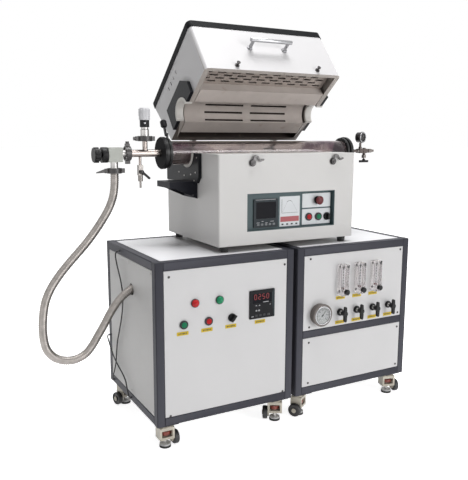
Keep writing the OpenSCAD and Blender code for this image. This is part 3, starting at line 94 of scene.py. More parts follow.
# ---- Materials ----
def shader(name, colour, rough, metal=0.0, vary=(6.0, 0.05), bump=(900.0, 0.08), stretch=(1, 1, 1),
           spec=0.5, glass=0.0, ior=1.5, emit=None, wear=None, spots=None, rough_vary=0.06):
    """A procedural finish: mottled colour, uneven gloss, a fine bump, worn edges or spots."""
    m = bpy.data.materials.new(name)
    m.use_nodes = True
    t = m.node_tree
    n, link = t.nodes, t.links.new
    bsdf = n["Principled BSDF"]
    bsdf.inputs["Metallic"].default_value = metal
    bsdf.inputs["Specular IOR Level"].default_value = spec
    bsdf.inputs["Transmission Weight"].default_value = glass
    bsdf.inputs["IOR"].default_value = ior
    if emit:
        bsdf.inputs["Emission Color"].default_value = (*emit[0], 1)
        bsdf.inputs["Emission Strength"].default_value = emit[1]
    place = n.new("ShaderNodeTexCoord")
    spread = n.new("ShaderNodeMapping")
    spread.inputs["Scale"].default_value = stretch
    link(place.outputs["Object"], spread.inputs["Vector"])

    def noise(scale, detail):
        x = n.new("ShaderNodeTexNoise")
        x.inputs["Scale"].default_value = scale
        x.inputs["Detail"].default_value = detail
        link(spread.outputs["Vector"], x.inputs["Vector"])
        return x.outputs["Fac"]

    def ramp(fac, stops):
        x = n.new("ShaderNodeValToRGB")
        while len(x.color_ramp.elements) < len(stops):
            x.color_ramp.elements.new(0.5)
        for e, (at, c) in zip(x.color_ramp.elements, stops):
            e.position = at
            e.color = (*c, 1)
        link(fac, x.inputs["Fac"])
        return x.outputs["Color"]

    def times(c, k):
        return tuple(min(1.0, v * k) for v in c)

    out = ramp(noise(vary[0], 5), [(0.3, times(colour, 1 - vary[1])),
                                   (0.7, times(colour, 1 + vary[1]))])

    def over(below, fac, c):
        x = n.new("ShaderNodeMix")
        x.data_type = "RGBA"
        link(fac, x.inputs["Factor"])
        link(below, x.inputs["A"])
        x.inputs["B"].default_value = (*c, 1)
        return x.outputs["Result"]

    if spots:
        fac = ramp(noise(spots[1], 8),
                   [(spots[2], (0, 0, 0)), (min(1, spots[2] + 0.12), (1, 1, 1))])
        out = over(out, fac, spots[0])
    if wear:
        geo = n.new("ShaderNodeNewGeometry")
        edge = ramp(geo.outputs["Pointiness"], [(0.52, (0, 0, 0)), (0.6, (wear[1],) * 3)])
        out = over(out, edge, wear[0])
    link(out, bsdf.inputs["Base Color"])
    gloss = n.new("ShaderNodeMapRange")
    gloss.inputs["To Min"].default_value = max(0.02, rough - rough_vary)
    gloss.inputs["To Max"].default_value = min(1.0, rough + rough_vary)
    link(noise(vary[0] * 7, 6), gloss.inputs["Value"])
    link(gloss.outputs["Result"], bsdf.inputs["Roughness"])
    if bump[1]:
        b = n.new("ShaderNodeBump")
        b.inputs["Strength"].default_value = bump[1]
        b.inputs["Distance"].default_value = 0.0006
        link(noise(bump[0], 3), b.inputs["Height"])
        link(b.outputs["Normal"], bsdf.inputs["Normal"])
    return m


M = {
    "frame": shader("frame_paint", (0.016, 0.0165, 0.024), 0.5, spec=0.12, vary=(14, 0.12),
                    bump=(1400, 0.12), wear=((0.12, 0.12, 0.14), 0.5)),
    "panel": shader("panel_paint", (0.6, 0.595, 0.6), 0.46, vary=(5, 0.018), bump=(1300, 0.07)),
    "furnace": shader("furnace_paint", (0.58, 0.57, 0.56), 0.42, vary=(4, 0.02),
                      bump=(1300, 0.06)),
    # Lighter and darker copies of the panel paint: the top copy is painted light, the side copy is
    # painted shade.
    "panel_top_painted_light": shader("panel_top_painted_light", (0.72, 0.72, 0.74), 0.4, vary=(5, 0.02), bump=(1300, 0.07)),
    "panel_side_painted_shade": shader("panel_side_painted_shade", (0.45, 0.445, 0.44), 0.46, vary=(5, 0.02),
                         bump=(1300, 0.07)),
    "lid": shader("lid_paint", (0.57, 0.562, 0.57), 0.42, vary=(4, 0.02), bump=(1300, 0.06)),
    "print": shader("pale_print", (0.34, 0.34, 0.36), 0.5, vary=(60, 0.1), bump=(900, 0.02)),
    "lining": shader("lid_lining", (0.36, 0.325, 0.3), 0.5, vary=(9, 0.06), bump=(900, 0.07),
                     spots=((0.24, 0.205, 0.18), 22, 0.6)),
    # A dark copy of the lid lining: painted shade for the lining's rear part.
    "lining_painted_shade": shader("lining_painted_shade", (0.075, 0.06, 0.052), 0.5, vary=(14, 0.2),
                          bump=(900, 0.07), spots=((0.16, 0.13, 0.11), 26, 0.62)),
    "guard": shader("guard_sheet", (0.36, 0.31, 0.28), 0.45, metal=0.3, vary=(12, 0.08),
                    bump=(900, 0.06)),
    "cover": shader("cover_paint", (0.007, 0.0075, 0.0085), 0.5, vary=(9, 0.15),
                    bump=(1500, 0.16), spec=0.05),
    "ceramic": shader("ceramic_fibre", (0.47, 0.42, 0.39), 0.86, vary=(16, 0.07),
                      bump=(500, 0.35), spots=((0.4, 0.33, 0.29), 30, 0.62)),
    # Near-black for the faces inside the heater grooves: painted shade in the recesses.
    "groove": shader("groove_painted_shade", (0.022, 0.015, 0.012), 0.9, vary=(60, 0.3), bump=(500, 0.3)),
    "collar": shader("white_ceramic", (0.62, 0.6, 0.57), 0.62, vary=(20, 0.05), bump=(700, 0.2)),
    "plate": shader("dark_plate", (0.008, 0.0085, 0.011), 0.42, spec=0.15, vary=(20, 0.15),
                    bump=(1200, 0.12), spots=((0.04, 0.043, 0.055), 60, 0.7)),
    "arm": shader("arm_paint", (0.009, 0.0095, 0.014), 0.45, spec=0.12, vary=(20, 0.12),
                  bump=(1200, 0.12)),
    "quartz": shader("fused_quartz", (0.6, 0.54, 0.52), 0.05, glass=0.92, ior=1.46, vary=(8, 0.1),
                     bump=(40, 0.03), rough_vary=0.03, spots=((0.2, 0.12, 0.16), 7, 0.5)),
    "flange": shader("black_anodised", (0.008, 0.008, 0.009), 0.3, spec=0.25, vary=(30, 0.2),
                     bump=(900, 0.05), wear=((0.1, 0.1, 0.1), 0.15)),
    "steel": shader("stainless", (0.33, 0.29, 0.27), 0.26, metal=1, vary=(14, 0.08),
                    bump=(260, 0.1), stretch=(0.15, 4, 4)),
    "steel_dull": shader("dull_steel", (0.42, 0.41, 0.4), 0.36, metal=1, vary=(30, 0.12),
                         bump=(500, 0.12)),
    "dark_steel": shader("dark_clamp", (0.018, 0.016, 0.016), 0.32, metal=0.1, spec=0.5,
                         vary=(60, 0.3), bump=(400, 0.2), wear=((0.2, 0.19, 0.19), 0.12)),
    "valve": shader("valve_casting", (0.37, 0.38, 0.35), 0.5, metal=0.15, vary=(30, 0.05),
                    bump=(1500, 0.25)),
    "black": shader("black_plastic", (0.008, 0.008, 0.009), 0.42, spec=0.2, vary=(40, 0.25),
                    bump=(1600, 0.15)),
    "handle": shader("handle_chrome", (0.36, 0.36, 0.37), 0.24, metal=1, vary=(10, 0.06),
                     bump=(300, 0.06), stretch=(0.1, 5, 5)),
    "tray": shader("tray_paint", (0.055, 0.088, 0.096), 0.42, spec=0.3, vary=(12, 0.08),
                   bump=(1300, 0.08)),
    "white": shader("white_plate", (0.66, 0.68, 0.7), 0.38, vary=(30, 0.02), bump=(900, 0.04)),
    "pale_plastic": shader("pale_plastic", (0.62, 0.62, 0.64), 0.4, vary=(20, 0.03),
                           bump=(1400, 0.1)),
    "meter": shader("meter_case", (0.008, 0.008, 0.01), 0.4, spec=0.12, vary=(40, 0.2),
                    bump=(1600, 0.15)),
    "screen": shader("meter_screen", (0.003, 0.003, 0.006), 0.15, vary=(40, 0.1), bump=(900, 0.0),
                     spec=0.1),
    "controller": shader("controller_case", (0.014, 0.021, 0.026), 0.4, spec=0.2, vary=(40, 0.2),
                         bump=(1600, 0.15)),
    "controller_key": shader("controller_key", (0.12, 0.13, 0.14), 0.45, vary=(60, 0.1),
                             bump=(1500, 0.1)),
    "band": shader("card_band", (0.42, 0.12, 0.13), 0.45, spec=0.2, vary=(40, 0.05),
                   bump=(900, 0.02)),
    "key": shader("meter_key", (0.035, 0.036, 0.04), 0.5, spec=0.2, vary=(60, 0.1),
                  bump=(1500, 0.1)),
    "bezel": shader("bezel_ring", (0.03, 0.03, 0.033), 0.32, metal=0.5, spec=0.3, vary=(60, 0.1),
                    bump=(900, 0.05)),
    "red": shader("red_cap", (0.42, 0.008, 0.01), 0.35, vary=(60, 0.1), bump=(900, 0.05),
                  spec=0.15),
    "stop": shader("stop_cap", (0.1, 0.005, 0.009), 0.3, vary=(60, 0.1), bump=(900, 0.05),
                   spec=0.3),
    "green": shader("green_cap", (0.004, 0.16, 0.07), 0.35, vary=(60, 0.1), bump=(900, 0.05),
                    spec=0.15),
    "red_lamp": shader("red_lens", (0.4, 0.006, 0.008), 0.2, vary=(60, 0.1), bump=(500, 0.1),
                       spec=0.25, emit=((0.7, 0.01, 0.01), 0.05)),
    "green_lamp": shader("green_lens", (0.004, 0.2, 0.085), 0.2, vary=(60, 0.1), bump=(500, 0.1),
                         spec=0.25, emit=((0.0, 0.5, 0.15), 0.03)),
    "acrylic": shader("clear_acrylic", (0.8, 0.78, 0.78), 0.05, glass=0.96, ior=1.2,
                      vary=(20, 0.02), bump=(60, 0.02), rough_vary=0.03),
    "label": shader("label_yellow", (0.58, 0.42, 0.02), 0.45, spec=0.2, vary=(60, 0.04),
                    bump=(900, 0.03)),
    "mark": shader("mark_dark", (0.02, 0.02, 0.022), 0.5, vary=(60, 0.1), bump=(900, 0.02)),
    "digit": shader("digit_red", (0.22, 0.006, 0.008), 0.4, vary=(60, 0.02), bump=(900, 0.0),
                    emit=((0.5, 0.01, 0.015), 0.08)),
    "lens": shader("gauge_lens", (0.92, 0.92, 0.92), 0.03, glass=1.0, ior=1.12, vary=(20, 0.01),
                   bump=(60, 0.01), rough_vary=0.01),
    "dial": shader("dial_face", (0.36, 0.37, 0.37), 0.5, spec=0.2, vary=(30, 0.03),
                   bump=(900, 0.02)),
    "gauge_rim": shader("gauge_rim", (0.115, 0.1, 0.092), 0.36, metal=0.3, vary=(30, 0.12),
                        bump=(900, 0.1)),
    "gauge_dark": shader("gauge_dark", (0.035, 0.032, 0.033), 0.3, metal=0.5, vary=(40, 0.2),
                         bump=(900, 0.06), wear=((0.25, 0.24, 0.24), 0.25)),
    "brown_steel": shader("brown_steel", (0.085, 0.07, 0.065), 0.3, metal=0.7, vary=(60, 0.3),
                          bump=(500, 0.12), wear=((0.4, 0.38, 0.36), 0.5)),
    "flange_face": shader("flange_face", (0.006, 0.006, 0.007), 0.6, vary=(20, 0.2),
                          bump=(900, 0.04), spec=0.04),
    "cream": shader("cream_enamel", (0.6, 0.56, 0.47), 0.34, vary=(40, 0.06), bump=(500, 0.16),
                    wear=((0.3, 0.26, 0.2), 0.3)),
    "thumb": shader("thumb_wheel", (0.2, 0.035, 0.02), 0.4, vary=(60, 0.15), bump=(900, 0.2)),
    "cup": shader("white_cup", (0.66, 0.66, 0.66), 0.32, vary=(60, 0.04), bump=(900, 0.1)),
    "pad": shader("rubber_pad", (0.018, 0.018, 0.018), 0.75, vary=(60, 0.2), bump=(900, 0.3)),
    "wheel": shader("nylon_wheel", (0.016, 0.016, 0.017), 0.5, vary=(60, 0.2), bump=(900, 0.2)),
    "pump": shader("pump_enamel", (0.05, 0.085, 0.13), 0.36, vary=(30, 0.08), bump=(900, 0.16)),
    "hose": shader("hose_steel", (0.27, 0.25, 0.235), 0.32, metal=0.9, vary=(80, 0.15),
                   bump=(600, 0.25)),
    "cable": shader("cable_sheath", (0.014, 0.014, 0.015), 0.5, vary=(80, 0.15),
                    bump=(900, 0.25)),
    "rubber": shader("foot_rubber", (0.014, 0.014, 0.014), 0.7, vary=(80, 0.2), bump=(900, 0.25)),
}


# ---- Cords ----
def smooth(points, step):
    """A Catmull-Rom line through the points, at about the given step."""
    out = []
    n = len(points)
    for i in range(n - 1):
        a, b = points[i], points[i + 1]
        before = points[i - 1] if i else a + (a - b)
        after = points[i + 2] if i + 2 < n else b + (b - a)
        count = max(2, round((b - a).length / step))
        for k in range(count):
            t = k / count
            out.append(0.5 * (2 * a + (b - before) * t
                              + (2 * before - 5 * a + 4 * b - after) * t * t
                              + (3 * a - before - 3 * b + after) * t ** 3))
    out.append(points[-1])
    return out


def tube(name, line, radius, sides, ends=(None, None)):
    """A mesh tube along a line. radius is a number or a function of the length so far."""
    v, f = [], []
    length = 0.0
    normal = None
    for i, p in enumerate(line):
        d = (line[min(i + 1, len(line) - 1)] - line[max(i - 1, 0)]).normalized()
        if i == 0 and ends[0]:
            d = ends[0]
        if i == len(line) - 1 and ends[1]:
            d = ends[1]
        if i:
            length += (p - line[i - 1]).length
        if normal is None:
            normal = d.orthogonal().normalized()
        normal = (normal - d * normal.dot(d)).normalized()
        other = d.cross(normal)
        rad = radius(length) if callable(radius) else radius
        for k in range(sides):
            a = 2 * math.pi * k / sides
            v.append(p + rad * (math.cos(a) * normal + math.sin(a) * other))
    for i in range(len(line) - 1):
        for k in range(sides):
            a, b = i * sides + k, i * sides + (k + 1) % sides
            f.append((a, b, b + sides, a + sides))
    f.append(tuple(reversed(range(sides))))
    f.append(tuple(range(len(v) - sides, len(v))))
    mesh = bpy.data.meshes.new(name)
    mesh.from_pydata([tuple(x) for x in v], [], f)
    mesh.shade_smooth()
    o = bpy.data.objects.new(name, mesh)
    bpy.context.scene.collection.objects.link(o)
    return o, length


def cord(name, node, route, diameter, material, step, sides, radius, slot, ends, **facts):
    """A cord along its route in set coordinates, in place of its plain CAD node."""
    line = smooth([S(*p) for p in route], step)
    o, length = tube(name, line, radius, sides, ends)
    o.data.materials.append(M[material])
    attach(o, "stand")
    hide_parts(node)
    return o


X_AXIS, Z_AXIS = Vector((1, 0, 0)), Vector((0, 0, 1))
HOSE = [(-31.5, 260, 868), (-32, 260, 841), (-35, 259, 812), (-42, 257, 784), (-56, 255, 753),
        (-77, 253, 720), (-103, 251, 685), (-133, 249, 649), (-166, 247, 615), (-199, 246, 581),
        (-229, 244, 547), (-255, 242, 511), (-273, 240, 473), (-282, 238, 433), (-286, 237, 392),
        (-285, 235, 352), (-277, 234, 317), (-256, 233, 289), (-224, 232, 273), (-189, 231, 271),
        (-156, 229, 285), (-133, 228, 310), (-113, 226, 342), (-93, 224, 374), (-73, 222, 410),
        (-51, 220, 442), (-25, 218, 469), (6, 216, 489), (42, 214, 498), (79, 214, 493),
        (112, 214, 476), (136, 214, 448), (149, 214, 414), (152, 214, 384)]
SENSOR_CABLE = [(0, 322, 598), (-9, 322, 598), (-15, 321, 592), (-17, 319, 580), (-16, 310, 556),
                (-14, 300, 532), (-11, 291, 506), (-8, 285, 474), (-7, 283, 436), (-7, 291, 396),
                (-7, 310, 350), (-7, 334, 304), (-7, 353, 268), (-7, 366, 226), (-7, 376, 184),
                (-8, 392, 148), (-9, 410, 118), (-7, 418, 105), (0, 420, 101)]
THERMO_CABLE = [(0, 456, 262), (-8, 456, 262), (-13, 449, 258), (-14, 436, 249), (-15, 412, 231),
                (-15, 385, 211), (-14, 358, 195), (-12, 327, 180), (-10, 296, 166), (-9, 270, 150),
                (-10, 252, 128), (-10, 241, 108), (-7, 237, 102), (0, 236, 101)]
cord("hose", "vacuum_hose", HOSE, 0.028, "hose", 0.00155, 20,
     lambda s: 0.01325 + 0.0006 * math.cos(2 * math.pi * s / 0.0062), "hose_plastic",
     (-Z_AXIS, -Z_AXIS), stiffness="stiff", lay="hanging")
cord("cable_a", "sensor_cable", SENSOR_CABLE, 0.005, "cable", 0.005, 10, 0.0024, "cable_rubber",
     (-X_AXIS, X_AXIS), stiffness="medium", lay="loose")
cord("cable_b", "thermocouple_cable", THERMO_CABLE, 0.005, "cable", 0.005, 10, 0.0024,
     "cable_rubber", (-X_AXIS, X_AXIS), stiffness="medium", lay="loose")


# ---- Finishes of the CAD nodes ----
def islands(mesh):
    """Per polygon, the box of the solid it belongs to, in set coordinates."""
    key, parent = {}, []

    def find(a):
        while parent[a] != a:
            parent[a] = parent[parent[a]]
            a = parent[a]
        return a

    ids = []
    for v in mesh.vertices:
        k = (round(v.co.x, 5), round(v.co.y, 5), round(v.co.z, 5))
        if k not in key:
            key[k] = len(parent)
            parent.append(len(parent))
        ids.append(key[k])
    for p in mesh.polygons:
        a = find(ids[p.vertices[0]])
        for i in p.vertices[1:]:
            b = find(ids[i])
            if a != b:
                parent[b] = a
    boxes = {}
    for v in mesh.vertices:
        g = find(ids[v.index])
        q = to_set(v.co)
        if g not in boxes:
            boxes[g] = [q.copy(), q.copy()]
        boxes[g][0] = Vector(map(min, boxes[g][0], q))
        boxes[g][1] = Vector(map(max, boxes[g][1], q))
    return [boxes[find(ids[p.vertices[0]])] for p in mesh.polygons]


def paint(node, rule):
    """Gives each face of a node the finish its rule names, from its centre, normal and solid."""
    o = nodes[node]
    names = []
    if isinstance(rule, str):
        picks = [rule] * len(o.data.polygons)
    else:
        boxes = islands(o.data)
        picks = [rule(to_set(p.center), p.normal, lo, hi)
                 for p, (lo, hi) in zip(o.data.polygons, boxes)]
    o.data.materials.clear()
    for p, name in zip(o.data.polygons, picks):
        if name not in names:
            names.append(name)
            o.data.materials.append(M[name])
        p.material_index = names.index(name)


def edges(node, width, angle=40):
    """Small rounded edges on a sheet-metal node."""
    o = nodes[node]
    weld = o.modifiers.new("weld", "WELD")
    weld.merge_threshold = 0.00001
    b = o.modifiers.new("edges", "BEVEL")
    b.width = width
    b.segments = 2
    b.limit_method = "ANGLE"
    b.angle_limit = math.radians(angle)
    b.harden_normals = True


def front_rule(c, n, lo, hi):
    if c.z < TOP:
        return "panel"
    if hi.y - lo.y > 10:
        return "tray"
    return "white"


def meter_rule(c, n, lo, hi):
    left = c.x < 400 and c.z < TOP
    if hi.y - lo.y < 3:
        return "key" if left else "controller_key"
    x0, z0, w, h = (375.5, TOP - 171 + 20, 74, 32) if left else (427, 742, 78, 56)
    face = 1 - 4 if left else TRAY_Y - 4
    inside = abs(c.x - x0) < w / 2 and abs(c.z - z0) < h / 2
    if inside and face + 0.5 < c.y < face + 4 and abs(n.y) > 0.9:
        return "screen"
    return "meter" if left else "controller"


def lamp_rule(c, n, lo, hi):
    if hi.y < 0 and c.z < TOP:
        return "red_lamp" if c.x < 170 else "green_lamp"
    return "bezel"


def flow_rule(c, n, lo, hi):
    if hi.z - lo.z > 60:
        return "steel_dull" if c.y > 1.5 else "acrylic"
    return "stop" if hi.z - lo.z < 7.5 and hi.y < -5 and hi.y - lo.y < 8 else "steel_dull"


def gas_rule(c, n, lo, hi):
    if hi.x - lo.x < 30:
        return "black"
    rad = math.hypot(c.x - GAUGE_X, c.z - GAUGE_Z)
    if c.x < 655 and c.y < 1 and rad < 41:
        return "dial" if c.y > -23 and n.y < -0.9 and rad < 30 else "gauge_rim"
    return "steel_dull"


def housing_rule(c, n, lo, hi):
    if hi.z < FZ:
        return "rubber"
    if hi.y < 60 and hi.x - lo.x < 60:
        return "gauge_dark"
    if lo.y > 440 and hi.x - lo.x < 90:
        return "steel_dull"
    inside = FX + 3 < c.x < FX + 542 and FY + 3 < c.y < 457 and c.z < SPLIT - 1
    return "lining" if inside else "furnace"


def groove_rule(c, n, lo, hi, back=lambda p: p):
    q = back(c)
    rad = math.hypot(q.y - AXIS_Y, q.z - SPLIT)
    ends = min(abs(q.x - x) for x in (340, 685, 496, 529)) < 0.5
    middle = MID_X - 173 < q.x < MID_X + 173 and abs(q.x - MID_X) > 16
    # The groove walls, ends and floors get the near-black finish as painted shade.
    return "groove" if (middle or ends) and CHAMBER_R + 0.3 < rad < 65 else "ceramic"


def support_rule(c, n, lo, hi):
    if hi.y - lo.y < 115:
        return "collar"
    return "plate" if c.z > 829.5 and (c.x > 227.5 and c.x < 797.5) else "arm"


def flange_rule(c, n, lo, hi):
    if hi.z - lo.z < 30:
        return "dark_steel"
    face = abs(n.x) > 0.9 and (c.x < 130 or c.x > 909)
    return "flange_face" if face else "flange"


def line_rule(c, n, lo, hi):
    if hi.x - lo.x > 110:
        return "steel" if c.x < 119 else "dark_steel"
    return "dark_steel" if lo.z > 860 else "brown_steel"


def sensor_rule(c, n, lo, hi):
    if lo.z > 1038:
        if abs(c.z - 1067) < 2.5 and n.z < 0.5:
            return "black"
        return "pale_plastic"
    return "black" if c.z > 1014 else "steel_dull" if c.z > 990 else "dark_steel"


def valve_rule(c, n, lo, hi):
    if hi.x < -50:
        return "black"
    return "valve" if -55.5 < c.x < -7.5 and c.z > 902.5 else "steel_dull"


def inlet_rule(c, n, lo, hi):
    if hi.x - lo.x < 60:
        flat = Vector((0.2924, -0.9563, 0)).dot(n) > 0.95
        return "dial" if flat and (c - Vector(INLET_GAUGE)).length < 5 else "gauge_dark"
    return "brown_steel"


def shell_rule(c, n, lo, hi):
    q = closed(c)
    if hi.z - lo.z < 60 and lo.z > 930 or 0 < q.x - FX < FURN_W and MOUTH + 22 < q.z < MOUTH + 27 \
            and q.y > FY + 15:
        return "guard"
    outside = q.x < FX + 0.6 or q.x > FX + 544.4 or q.y < FY + 16 and abs(q.z - MOUTH) > 4 \
        and hi.x - lo.x > 540
    inside = FX + 1 < q.x < FX + 544 and q.y > FY + 1 and q.z < 1120
    lean = 415 + 42 * (q.z - MOUTH) / 189
    if inside and q.y < lean - 1.2 and not (q.y < FY + 16.2 and outside and n.y < -0.3):
        # The lining's rear part, beyond y 375, gets the dark copy as painted shade.
        return "lining_painted_shade" if q.y > 375 else "lining"
    return "lid"


def fitting_rule(c, n, lo, hi):
    size = hi - lo
    if size.x > 120:
        return "handle"
    if hi.x < FX + 2 or lo.x > FX + 543:
        return "plate"
    if size.x > 25 and size.y > 60:
        return "collar"
    return "gauge_dark" if c.y < 200 else "steel_dull"


def caster_rule(c, n, lo, hi):
    if hi.z < 7.5:
        return "pad"
    if hi.z < 60:
        return "thumb" if c.z > 42 else "cup" if c.z < 12.5 else "steel_dull"
    return "cream"


def pump_rule(c, n, lo, hi):
    return "steel" if c.z > 330 else "pump"


def panel_rule(c, n, lo, hi):
    # Top sheets get the painted-light copy, narrow side sheets the painted-shade copy.
    if lo.z > 600:
        return "panel_top_painted_light"
    return "panel_side_painted_shade" if hi.x - lo.x < 20 else "panel"


PLAIN = {"cabinet_frames": "frame", "process_tube": "quartz",
         "lid_cover": "cover", "latch_hook_left": "gauge_dark", "latch_hook_right": "gauge_dark",
         "pump_start_button": "green", "heat_start_button": "green", "pump_stop_button": "red",
         "heat_stop_button": "red", "emergency_stop": "stop"}
RULES = {"cabinet_panels": panel_rule, "front_panels": front_rule,
         "panel_meters": meter_rule, "lamps_and_bezels": lamp_rule,
         "flow_meters": flow_rule, "gas_manifold": gas_rule, "furnace_housing": housing_rule,
         "furnace_insulation": groove_rule, "tube_supports": support_rule,
         "tube_flanges": flange_rule, "vacuum_line": line_rule, "vacuum_sensor": sensor_rule,
         "angle_valve": valve_rule, "gas_inlet": inlet_rule, "vacuum_pump": pump_rule,
         "lid_shell": shell_rule, "lid_fittings": fitting_rule,
         "lid_insulation": lambda c, n, lo, hi: groove_rule(c, n, lo, hi, closed)}
for name in nodes:
    if name in ("vacuum_hose", "sensor_cable", "thermocouple_cable"):
        continue
    if "_caster_" in name:
        paint(name, caster_rule)
    elif "_wheel_" in name:
        paint(name, "wheel")
    else:
        paint(name, PLAIN.get(name) or RULES.get(name) or "black")

for name, width in (("cabinet_frames", 1.2), ("cabinet_panels", 0.5), ("front_panels", 0.5),
                    ("furnace_housing", 1.0), ("lid_cover", 0.8), ("angle_valve", 0.8),
                    ("latch_hook_left", 0.6), ("latch_hook_right", 0.6), ("lid_fittings", 0.8)):
    edges(name, width / 1000)


# ---- Small fitted pieces ----
def piece(name, body, material, build):
    """A piece made by bmesh calls, in set millimetres, riding on a body."""
    bm = bmesh.new()
    build(bm)
    for v in bm.verts:
        v.co = S(*v.co)
    mesh = bpy.data.meshes.new(name)
    bm.to_mesh(mesh)
    bm.free()
    mesh.materials.append(M[material])
    o = bpy.data.objects.new(name, mesh)
    bpy.context.scene.collection.objects.link(o)
    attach(o, body)
    return o


def bar(bm, lo, hi, bevel=0.0):
    size = [b - a for a, b in zip(lo, hi)]
    made = bmesh.ops.create_cube(bm, size=1)["verts"]
    for v in made:
        v.co = Vector([a + (x + 0.5) * s for a, x, s in zip(lo, v.co, size)])
    if bevel:
        bmesh.ops.bevel(bm, geom=list({e for v in made for e in v.link_edges}), offset=bevel,
                        segments=2, affect="EDGES")


def disc(bm, centre, radius, depth, axis="Y", segments=24, bevel=0.0):
    turn = {"X": Matrix.Rotation(math.pi / 2, 4, "Y"), "Y": Matrix.Rotation(math.pi / 2, 4, "X"),
            "Z": Matrix.Identity(4)}[axis]
    made = bmesh.ops.create_cone(bm, cap_ends=True, segments=segments, radius1=radius,
                                 radius2=radius, depth=depth,
                                 matrix=Matrix.Translation(centre) @ turn)["verts"]
    if bevel:
        rims = [e for e in {e for v in made for e in v.link_edges}
                if any(len(f.verts) > 4 for f in e.link_faces)]
        bmesh.ops.bevel(bm, geom=rims, offset=bevel, segments=2, affect="EDGES")


SEGMENTS = {"0": "abcdef", "1": "bc", "2": "abged", "3": "abgcd", "5": "afgcd", "8": "abcdefg"}


def digits(bm, text, x0, z0, y, w, h, pitch):
    """Seven-segment figures on a face towards -Y."""
    t = w * 0.18
    for i, ch in enumerate(text):
        x = x0 + i * pitch
        spans = {"a": (x + t, z0 + h - t, x + w - t, z0 + h), "d": (x + t, z0, x + w - t, z0 + t),
                 "g": (x + t, z0 + h / 2 - t / 2, x + w - t, z0 + h / 2 + t / 2),
                 "f": (x, z0 + h / 2, x + t, z0 + h - t),
                 "b": (x + w - t, z0 + h / 2, x + w, z0 + h - t),
                 "e": (x, z0 + t, x + t, z0 + h / 2), "c": (x + w - t, z0 + t, x + w, z0 + h / 2)}
        for s in SEGMENTS.get(ch, ""):
            a, b, c, d = spans[s]
            bar(bm, (a, y - 0.25, b), (c, y, d))


# Middle of each yellow label: set x, and how far it lies below the cabinets' tops
LABELS = ([(x, 231) for x in (89, 173, 259, 369)] + [(x, 280) for x in (702, 776, 850, 925)]
          + [(x, 190) for x in (702, 776, 850)])


def labels(bm):
    for x, drop in LABELS:
        bar(bm, (x - 20, 0.2, TOP - drop - 6), (x + 20, 0.9, TOP - drop + 6), 0.2)


def label_marks(bm):
    """Short dark strokes in place of words on the labels."""
    for x, drop in LABELS:
        for k in range(6):
            low = 1.8 if k % 3 else 2.8
            bar(bm, (x - 14 + 4.9 * k, 0.0, TOP - drop - low),
                (x - 14 + 4.9 * k + 3.0, 0.25, TOP - drop + 2.2))


def meter_print(bm):
    """Small pale marks on the vacuum display's face."""
    for x, z, w, h in ((378, 446, 22, 2.4), (350, 436, 5, 3), (362, 436, 5, 3), (350, 418, 6, 5),
                       (360, 418, 6, 5), (334, 400, 8, 3), (404, 436, 4, 2)):
        bar(bm, (x, -3.2, z), (x + w, -2.95, z + h))


piece("meter_print", "stand", "print", meter_print)


def front_screws(bm):
    """Screws of the cabinets' front sheets."""
    left = [(x, drop) for x in (45, 463) for drop in (47, 494)]
    right = [(RIGHT + x, drop) for x in (53, 460) for drop in (39, 281, 337, 485)]
    for x, drop in left + right:
        disc(bm, (x, 0.3, TOP - drop), 4.0, 1.6, segments=16, bevel=0.5)


piece("front_screws", "stand", "dark_steel", front_screws)
piece("labels", "stand", "label", labels)
piece("label_marks", "stand", "mark", label_marks)
piece("vacuum_digits", "stand", "digit",
      lambda bm: digits(bm, "0250", 345, 457, -2.0, 10, 18, 15.5))


def dial(name, centre, turn, radius, needle):
    """Scale marks, a needle, a bright bezel ring and a glass on a gauge whose dial faces -Y."""
    spin = Matrix.Translation(centre) @ Matrix.Rotation(math.radians(turn), 4, "Z")

    def build(make):
        def made(bm):
            make(bm)
            for v in bm.verts:
                v.co = spin @ v.co
        return made

    def ticks(bm):
        k_size = radius / 17.5
        for k in range(31):
            a = math.radians(225 - 9 * k)
            for i in range(5 if k % 5 == 0 else 3):
                reach = radius * (0.86 - 0.04 * i)
                disc(bm, (reach * math.cos(a), -0.15, reach * math.sin(a)), 0.5 * k_size, 0.3,
                     segments=6)
        for k in range(7):
            a = math.radians(225 - 45 * k)
            bar(bm, (radius * 0.56 * math.cos(a) - 0.7 * k_size, -0.3,
                     radius * 0.56 * math.sin(a) - 0.9 * k_size),
                (radius * 0.56 * math.cos(a) + 0.7 * k_size, 0,
                 radius * 0.56 * math.sin(a) + 0.9 * k_size))
        for k in range(18):
            reach = radius * (0.78 * k / 17 - 0.16)
            disc(bm, (reach * math.cos(needle), -0.6, reach * math.sin(needle)),
                 (1.25 - 0.045 * k) * k_size, 0.3, segments=8)
        disc(bm, (0, -0.6, 0), 1.9 * k_size, 1.0, segments=12)

    def ring(bm):
        steps, around = 48, 8
        rows = []
        for i in range(steps):
            a = 2 * math.pi * i / steps
            rows.append([bm.verts.new(((radius + 2 + 1.9 * math.cos(b)) * math.cos(a),
                                       -3.2 + 1.6 * math.sin(b),
                                       (radius + 2 + 1.9 * math.cos(b)) * math.sin(a)))
                         for b in [2 * math.pi * j / around for j in range(around)]])
        for i in range(steps):
            for j in range(around):
                f = bm.faces.new((rows[i][j], rows[i][(j + 1) % around],
                                  rows[(i + 1) % steps][(j + 1) % around],
                                  rows[(i + 1) % steps][j]))
                f.smooth = True

    piece(name + "_scale", "stand", "mark", build(ticks))
    piece(name + "_bezel", "stand", "handle", build(ring))
    piece(name + "_glass", "stand", "lens",
          build(lambda bm: disc(bm, (0, -2.2, 0), radius + 0.4, 0.6, segments=48)))


dial("panel_gauge", (GAUGE_X, -21.1, GAUGE_Z), 0, 29.5, math.radians(52))
dial("inlet_gauge", INLET_GAUGE, 17, 17.0, math.radians(215))


